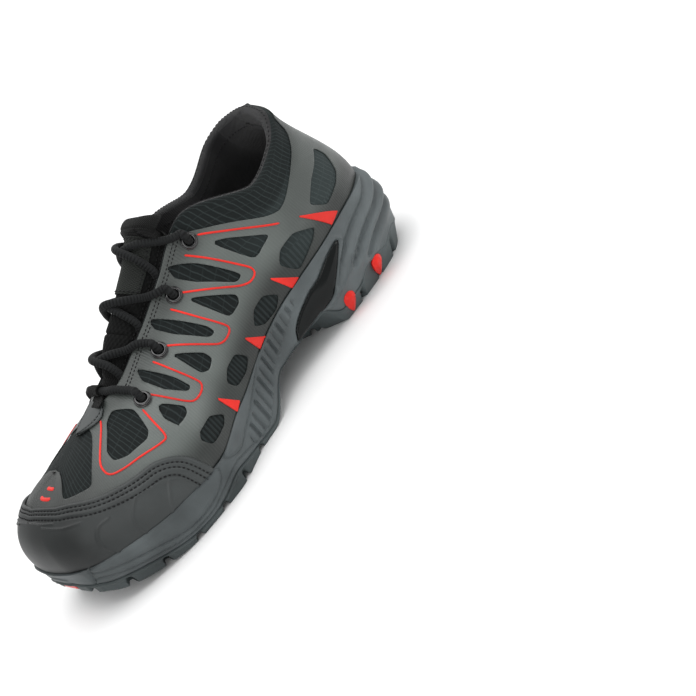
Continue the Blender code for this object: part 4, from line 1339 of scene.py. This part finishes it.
def tongue_body(a, t):
    """The tongue's face from the outer edge, a 1, to the inner edge, a -1, under the flaps at both."""
    lowest = mix(0.82, 0.96, ease(t, 6.7, TONGUE_ROWS[1]))
    tops = {side: flap_inside(t, side, np.ones_like(t)) for side in (1, -1)}
    below = {side: flap_inside(t, side, (lowest + 1) / 2) for side in (1, -1)}
    reach = np.linalg.norm(tops[1] - tops[-1], axis=1, keepdims=True) * 0.30
    lead = {side: tops[side] + unit(tops[side] - below[side]) * reach for side in (1, -1)}
    s = np.clip((FACE_HALF - a) / (2 * FACE_HALF), 0, 1)[:, None]
    w = 1 - s
    face = tops[1] * w**3 + lead[1] * 3 * w * w * s + lead[-1] * 3 * w * s * s + tops[-1] * s**3
    bulge = TONGUE_CROWN * ease(t, 4.4, 6.0) * np.sin(math.pi * s[:, 0]) ** 1.6
    face = face + OUT_OF_THROAT * bulge[:, None]
    v = lowest + (1 - lowest) * np.clip((1 - np.abs(a)) / (1 - FACE_HALF), 0, 1)
    under = flap_inside(t, np.sign(a), v)
    return np.where((np.abs(a) > FACE_HALF)[:, None], under, face)


def tongue_face(a, b):
    """The tongue's face from its root at b 0 to the top edge at b 1."""
    a, b = np.broadcast_arrays(np.asarray(a, float), np.asarray(b, float))
    t = mix(*TONGUE_ROWS, np.clip(b / TONGUE_BODY, 0, 1))
    h = np.clip((b - TONGUE_BODY) / (1 - TONGUE_BODY), 0, 1)
    body = tongue_body(a, t)
    middle = tongue_body(np.zeros_like(a), np.full_like(a, TONGUE_ROWS[1]))
    half = TONGUE_TOP_HALF * mix(0.74, 1.0, h) + TONGUE_TOP_OUT * h * ease(a, 0.2, 1.0)
    drop = 0.003 * a * a + 0.005 * a**4
    top = middle + np.stack([
        a * half,
        TONGUE_LEAN * h * h + 0.003 * a * a + 0.002 * ease(a, 0.3, 1.0) * h,
        TONGUE_RISE * h - drop,
    ], 1)
    return mix(body, top, ease(h, 0.0, 0.5)[:, None])


def tongue_normal(a, b):
    a, b = np.broadcast_arrays(np.asarray(a, float), np.asarray(b, float))
    across = tongue_face(np.clip(a + 0.02, -1, 1), b) - tongue_face(np.clip(a - 0.02, -1, 1), b)
    along = tongue_face(a, np.clip(b + 0.01, 0, 1)) - tongue_face(a, np.clip(b - 0.01, 0, 1))
    return unit(np.cross(across, along))


def on_tongue(a, b, height):
    return tongue_face(a, b) + tongue_normal(a, b) * np.asarray(height, float)[..., None]


PATCH_HALF = 0.40
PATCH_SPAN = (0.60, 0.885)
PATCH_SEAM = (0.615, 0.868)
QUILT_LINES = (0.50, 0.56)


def tongue_relief(a, b):
    """Sewn lines pull the pad in."""
    pulled = sum(bead(np.abs(a) - line, 0.022) for line in QUILT_LINES)
    pulled = pulled * ease(b, 0.15, 0.25) * (1 - ease(b, 0.90, 0.94))
    rows = bead((b * 9) % 1 - 0.5, 0.05) * (1 - ease(np.abs(a), 0.42, 0.5)) * (1 - ease(b, 0.54, 0.58))
    top_seam = bead(b - 0.93, 0.008)
    return -0.0009 * pulled - 0.0010 * rows - 0.0007 * top_seam


def make_tongue():
    bm = bmesh.new()
    around_rows, along_rows = 120, 150
    bmesh.ops.create_grid(bm, x_segments=along_rows, y_segments=around_rows, size=0.5)
    flat = places(bm) + 0.5
    b = 1 - (1 - flat[:, 0]) ** 1.25
    turn = flat[:, 1]
    a = np.cos(turn * 2 * math.pi)
    full = TONGUE_THICKNESS * np.sqrt(np.clip(1 - a**4, 0, 1))
    end = np.clip((b - 0.90) / 0.10, 0, 1)
    thick = full * np.sqrt(np.clip(1 - end**2, 0, 1))
    rounding = thick - full
    height = np.where(turn <= 0.5, rounding * 0.5 + tongue_relief(a, b), rounding * 0.5 - thick)
    mark_flat(bm)
    for vertex, point in zip(bm.verts, on_tongue(a, b, height)):
        vertex.co = point
    bmesh.ops.remove_doubles(bm, verts=bm.verts, dist=1e-6)
    bmesh.ops.recalc_face_normals(bm, faces=bm.faces)
    pad = piece("tongue_pad", bm, TONGUE_CLOTH, 70, None)
    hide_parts("tongue")


def make_patch():
    bm = bmesh.new()
    bmesh.ops.create_grid(bm, x_segments=60, y_segments=60, size=0.5)
    for vertex in bm.verts:
        x, y = vertex.co.x + 0.5, vertex.co.y + 0.5
        vertex.co = (mix(-PATCH_HALF, PATCH_HALF, x), mix(*PATCH_SPAN, y), 0.0)
    layer = bm.loops.layers.uv.new("flat")
    for face in bm.faces:
        for loop in face.loops:
            loop[layer].uv = (loop.vert.co.x * 0.018, loop.vert.co.y * 0.09)
    lay(bm, lambda a, b: on_tongue(a, b, np.full_like(a, 0.0002)))
    bmesh.ops.recalc_face_normals(bm, faces=bm.faces)
    give_wall(piece("tongue_patch", bm, PATCH_CLOTH, 60, None), 0.0007)


def tongue_stitches():
    bm = bmesh.new()
    for line in QUILT_LINES:
        for sign in (1, -1):
            b = np.linspace(0.25, 0.90, 60)
            a = np.full_like(b, line * sign)
            sew_points(bm, on_tongue(a, b, np.full_like(b, -0.0004)), tongue_normal(a, b))
    half = PATCH_HALF * 0.90
    low, high = PATCH_SEAM
    edge = np.array([(half, low), (half, high), (-half, high), (-half, low), (half, low)])
    share = np.linspace(0, 1, 30)[:, None]
    spots = np.concatenate([mix(p, q, share) for p, q in zip(edge, edge[1:])])
    points = on_tongue(spots[:, 0], spots[:, 1], np.full(len(spots), 0.0010))
    sew_points(bm, points, tongue_normal(spots[:, 0], spots[:, 1]))
    piece("tongue_stitches", bm, THREAD, 80, None)


PATCH_CLOTH = cloth_finish("patch cloth", (0.020, 0.022, 0.020), 0.0011, 0.05)
make_tongue()
make_patch()
tongue_stitches()

# %% [markdown]
# ## Eyelets and laces
# Every eyelet is a rolled metal ring over a thin flange. The lace is one braided cord: its straight lowest
# bar goes down through the first eyelets, comes up from under the flaps, crosses over the tongue and
# goes down through the next ones. Its ends stop hidden below the top eyelets.

# %% Eyelets
EYELETS = ((4.96, 0.71), (5.84, 0.76), (6.88, 0.815), (7.74, 0.83))
EYELET_RADIUS = 0.0036
EYELET_WIRE = 0.0011
EYELET_LIFT = 0.0007
LACE_RADIUS = 0.0023
LACE_BAR_DROP = 0.20


def skin_at(t, side, v, height):
    return over_skin(np.array([t * side]), np.array([v]), np.array([height]))[0]


def spun_ring(radius, wire, drop):
    """A ring of round wire about Z, drop below the origin."""
    ring = bmesh.new()
    bmesh.ops.create_circle(ring, segments=14, radius=wire)
    lie = Matrix.Translation((radius, 0, -drop)) @ Matrix.Rotation(math.pi / 2, 4, "X")
    bmesh.ops.transform(ring, matrix=lie, verts=ring.verts)
    bmesh.ops.spin(ring, geom=ring.verts[:] + ring.edges[:], cent=(0, 0, 0), axis=(0, 0, 1),
                   angle=2 * math.pi, steps=48, use_merge=True)
    bmesh.ops.remove_doubles(ring, verts=ring.verts, dist=1e-6)
    bmesh.ops.recalc_face_normals(ring, faces=ring.faces)
    return ring


def make_eyelets():
    whole = bmesh.new()
    rolled = (EYELET_RADIUS, EYELET_WIRE, 0.0)
    flange = (EYELET_RADIUS + 0.0010, 0.0005, 0.0006)
    for t, v in EYELETS:
        for side in (1, -1):
            normal = Vector(skin_normal(np.array([t * side]), np.array([v]))[0])
            centre = Vector(skin_at(t, side, v, EYELET_WIRE * 0.8 + EYELET_LIFT))
            turned = Matrix.Translation(centre) @ normal.to_track_quat("Z", "Y").to_matrix().to_4x4()
            for sizes in (rolled, flange):
                ring = spun_ring(*sizes)
                bmesh.ops.transform(ring, matrix=turned, verts=ring.verts)
                join(whole, ring)
    rings = piece("eyelet_rings", whole, EYELET_METAL, 80, None)
    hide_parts(*(f"eyelet_{name}_{i}" for name in ("outer", "inner") for i in range(1, 5)))


make_eyelets()

# %% [markdown]
# The lace's places are listed run by run, and a smooth curve goes through them. At each crossing one
# run passes over the other, so its middle is lifted more.

# %% Laces
def over_face(t, height, a=0.0):
    b = (t - TONGUE_ROWS[0]) / (TONGUE_ROWS[1] - TONGUE_ROWS[0]) * TONGUE_BODY
    return on_tongue(np.array([a]), np.array([b]), np.array([height + LACE_RADIUS]))[0]


def into_eyelet(i, side):
    """From the flap's edge over the ring and down through it."""
    t, v = EYELETS[i]
    return [
        skin_at(t, side, v + 0.085, LACE_RADIUS + EYELET_WIRE + 0.0004),
        skin_at(t, side, v + 0.045, LACE_RADIUS + EYELET_WIRE * 2 + 0.0004),
        skin_at(t, side, v + 0.004, LACE_RADIUS * 0.9),
        skin_at(t, side, v - 0.006, -0.0035),
    ]


def crossing(i, side, lifted):
    """From under the flap beside eyelet i over the tongue and into the next eyelet across."""
    t0, t1 = EYELETS[i][0], EYELETS[i + 1][0]
    height = LACE_RADIUS * (1.5 if lifted else 0.1)
    return [
        skin_at(mix(t0, t1, 0.06), side, 0.90, -WALL - LACE_RADIUS * 1.1),
        skin_at(mix(t0, t1, 0.14), side, 0.985, -WALL - LACE_RADIUS * 0.7),
        over_face(mix(t0, t1, 0.26), 0.0002, 0.46 * side),
        over_face(mix(t0, t1, 0.40), height * 0.7, 0.22 * side),
        over_face(mix(t0, t1, 0.50), height, 0.0),
        over_face(mix(t0, t1, 0.62), height * 0.7 + 0.0006, -0.22 * side),
        over_face(mix(t0, t1, 0.74), 0.0012, -0.46 * side),
        skin_at(mix(t0, t1, 0.86), -side, 0.96, LACE_RADIUS + 0.0012),
        *into_eyelet(i + 1, -side),
    ]


def lowest_bar():
    row = EYELETS[0][0] - LACE_BAR_DROP
    middle = [over_face(row, LACE_RADIUS * 0.8, a) for a in (-0.4, 0.0, 0.4)]
    left = into_eyelet(0, -1)[::-1] + [skin_at(row + 0.06, -1, 0.94, LACE_RADIUS + 0.0010)]
    right = [skin_at(row + 0.06, 1, 0.94, LACE_RADIUS + 0.0010)] + into_eyelet(0, 1)
    return left + middle + right


def smooth_path(points, steps=10):
    """A smooth curve through given places."""
    points = np.asarray(points)
    p = np.concatenate([points[:1], points, points[-1:]])
    path = []
    for p0, p1, p2, p3 in zip(p, p[1:], p[2:], p[3:]):
        for s in np.arange(steps) / steps:
            path.append((p1 * 2 + (p2 - p0) * s + (p0 * 2 - p1 * 5 + p2 * 4 - p3) * s * s
                         + (p1 * 3 - p0 - p2 * 3 + p3) * s**3) / 2)
    path.append(points[-1])
    return np.array(path)


def make_laces():
    whole = bmesh.new()
    runs = [lowest_bar()]
    runs += [crossing(i, side, (side > 0) == (i % 2 == 0)) for i in range(3) for side in (1, -1)]
    total = 0.0
    for run in runs:
        path = smooth_path(run)
        total += np.linalg.norm(np.diff(path, axis=0), axis=1).sum()
        join(whole, tube(path, LACE_RADIUS, 16))
    laces = piece("braided_lace", whole, LACE, 80, None)
    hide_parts("laces")
    print("visible lace", round(total, 3), "m")


make_laces()

# %% [markdown]
# ## Throat tab
# A leather teardrop closes the front of the throat. A webbing loop comes out from under it and holds
# the lowest bar of the lace.

# %% Tab and loop
TAB_ROWS = (3.48, 4.47)
TAB_WIDTHS = [0.0, 0.040, 0.072, 0.096, 0.110, 0.108, 0.080, 0.0]
TAB_THICKNESS = 0.0014
TAB_SHIFT = 0.35


def tab_surface(c, k, height=0.0):
    """c goes across from -1 on the inner side to 1, and k from the tip to the throat."""
    t = mix(*TAB_ROWS, k)
    width = np.interp(k, np.linspace(0, 1, len(TAB_WIDTHS)), TAB_WIDTHS)
    c = c + TAB_SHIFT
    v = 1 - width * np.abs(c)
    lift = CLEARANCE + height + FILM_THICKNESS
    outer, inner = over_skin(t, v, lift), over_skin(-t, v, lift)
    return mix(inner, outer, ease(c, -0.35, 0.35)[:, None])


def make_tab():
    bm = bmesh.new()
    bmesh.ops.create_grid(bm, x_segments=48, y_segments=64, size=0.5)
    flat = places(bm) + 0.5
    c, k = flat[:, 0] * 2 - 1, flat[:, 1]
    mark_flat(bm)
    border = np.maximum(np.abs(c) - 0.80, 0) / 0.20
    ends = np.maximum(np.abs(k - 0.5) - 0.46, 0) / 0.04
    height = TAB_THICKNESS - 0.0007 * np.maximum(border, ends) ** 2 - 0.0005 * bead(np.abs(c) - 0.74, 0.05)
    for vertex, point in zip(bm.verts, tab_surface(c, k, height)):
        vertex.co = point
    bmesh.ops.recalc_face_normals(bm, faces=bm.faces)
    tab = piece("throat_tab_leather", bm, LEATHER, 60, 1e-6)
    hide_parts("throat_tab")
    give_wall(tab, TAB_THICKNESS, -1.0)
    stitches = bmesh.new()
    k = np.linspace(0.06, 0.94, 60)
    for sign in (1, -1):
        c = np.full_like(k, 0.74 * sign)
        points = tab_surface(c, k, np.full_like(k, TAB_THICKNESS - 0.0003))
        sew_points(stitches, points, skin_normal(mix(*TAB_ROWS, k) * sign, np.full_like(k, 0.95)), 0.0022)
    piece("tab_stitches", stitches, THREAD, 80, None)


def make_loop():
    """A webbing loop round the lowest bar, sewn under the tab."""
    bar = over_face(EYELETS[0][0] - LACE_BAR_DROP, LACE_RADIUS * 0.8)
    reach = LACE_RADIUS + 0.0006
    turn = np.radians([-120, -170, -220, -270, -320, -370, -400])
    ring = [bar + np.array([0, math.cos(a) * reach, math.sin(a) * reach]) for a in turn]
    start = tab_surface(np.zeros(2), np.array([0.80, 0.97]), TAB_THICKNESS * 0.9)
    path = smooth_path([*start, *ring], 6)
    bm = bmesh.new()
    bmesh.ops.create_grid(bm, x_segments=len(path) - 1, y_segments=12, size=0.5)
    mark_flat(bm)
    flat = places(bm) + 0.5
    for vertex, x, y in zip(bm.verts, flat[:, 0], flat[:, 1]):
        point = path[round(x * (len(path) - 1))]
        vertex.co = point + np.array([(y - 0.5) * 0.0095, 0, 0])
    bmesh.ops.recalc_face_normals(bm, faces=bm.faces)
    give_wall(piece("lace_loop", bm, TONGUE_CLOTH, 60, None), 0.0008, 0.0)


make_tab()
make_loop()

# %% [markdown]
# ## Seams and small parts
# Rows of stitches run along the eyestay and inside the collar. Only the red toe plug and the insole keep
# the model's own shapes, and they get their finishes here.

# %% Seams and kept parts
EYESTAY_SEAM = [(4.86, 0.90), (5.30, 0.945), (6.0, 0.955), (7.0, 0.955), (7.62, 0.95)]
COLLAR_START = 8.1


def line_stitches(path, height):
    spots = walk(path, 0.002)
    u, v = spots[:, 0], spots[:, 1]
    return on_upper(u, v, np.full(len(u), height)), skin_normal(u, v)


def lining_line(r, start, end):
    u = np.linspace(start, end, 200)
    points = shell_surface(u, np.full_like(u, r))
    return points, -skin_normal(u, np.full_like(u, 0.95))


def make_seams():
    bm = bmesh.new()
    for side in (1, -1):
        eyestay = np.array(EYESTAY_SEAM) * (side, 1)
        for shift in (0.0, -0.030):
            path = rounded(eyestay + (0, shift), 2, False)
            points, normals = line_stitches(path, FILM_THICKNESS + 0.0002)
            sew_points(bm, points, normals, 0.0024, 0.0007)
    for r in (1.45, 2.10):
        points, normals = lining_line(r, COLLAR_START, ROUND - COLLAR_START)
        sew_points(bm, points, normals, 0.0030, 0.0010)
    piece("upper_stitches", bm, THREAD, 80, None)


make_seams()
KEPT = {"toe_plug": RED_RUBBER, "insole": LINING}
for name, material in KEPT.items():
    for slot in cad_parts[name].material_slots:
        slot.material = material

# %% [markdown]
# ## Floor and light
# The floor and the light are those of a plain studio: a pale sheet, one large soft lamp over the shoe,
# one on each side of the camera, and a bright, even surround.

# %% Studio
def soft_lamp(name, place, target, size, power):
    lamp = bpy.data.lights.new(name, "AREA")
    lamp.shape = "SQUARE"
    lamp.size = size
    lamp.energy = power
    made = bpy.data.objects.new(name, lamp)
    bpy.context.collection.objects.link(made)
    made.location = place
    made.rotation_euler = (Vector(target) - Vector(place)).to_track_quat("-Z", "Y").to_euler()


bpy.ops.mesh.primitive_plane_add(size=8.0)
floor = bpy.context.object
floor.name = "floor"
paper = Finish("pale floor", (0.86, 0.86, 0.86), 0.7)
floor.data.materials.append(paper.material)

soft_lamp("top_lamp", (0.1, -0.1, 1.2), (0.0, 0.0, 0.05), 1.2, 11.0)
soft_lamp("side_lamp", (1.1, -0.9, 0.6), (0.0, 0.0, 0.05), 0.9, 6.0)
soft_lamp("back_lamp", (0.6, 1.1, 0.7), (0.0, 0.0, 0.05), 0.8, 4.5)
soft_lamp("floor_lamp", (-2.2, 1.4, 1.8), (-2.4, 1.6, 0.0), 3.2, 60.0)

world = bpy.data.worlds.new("surround")
world.use_nodes = True
world.node_tree.nodes["Background"].inputs["Color"].default_value = (1.0, 1.0, 1.0, 1.0)
world.node_tree.nodes["Background"].inputs["Strength"].default_value = 0.62
bpy.context.scene.world = world
bpy.context.scene.view_settings.view_transform = "Standard"

# %% [markdown]
# ## The end
# A small helper turns corners into plain lists of numbers. The visible pieces have to stay within the
# model's box.

# %% Finish
def plain(corners):
    return [[float(value) for value in corner] for corner in corners]
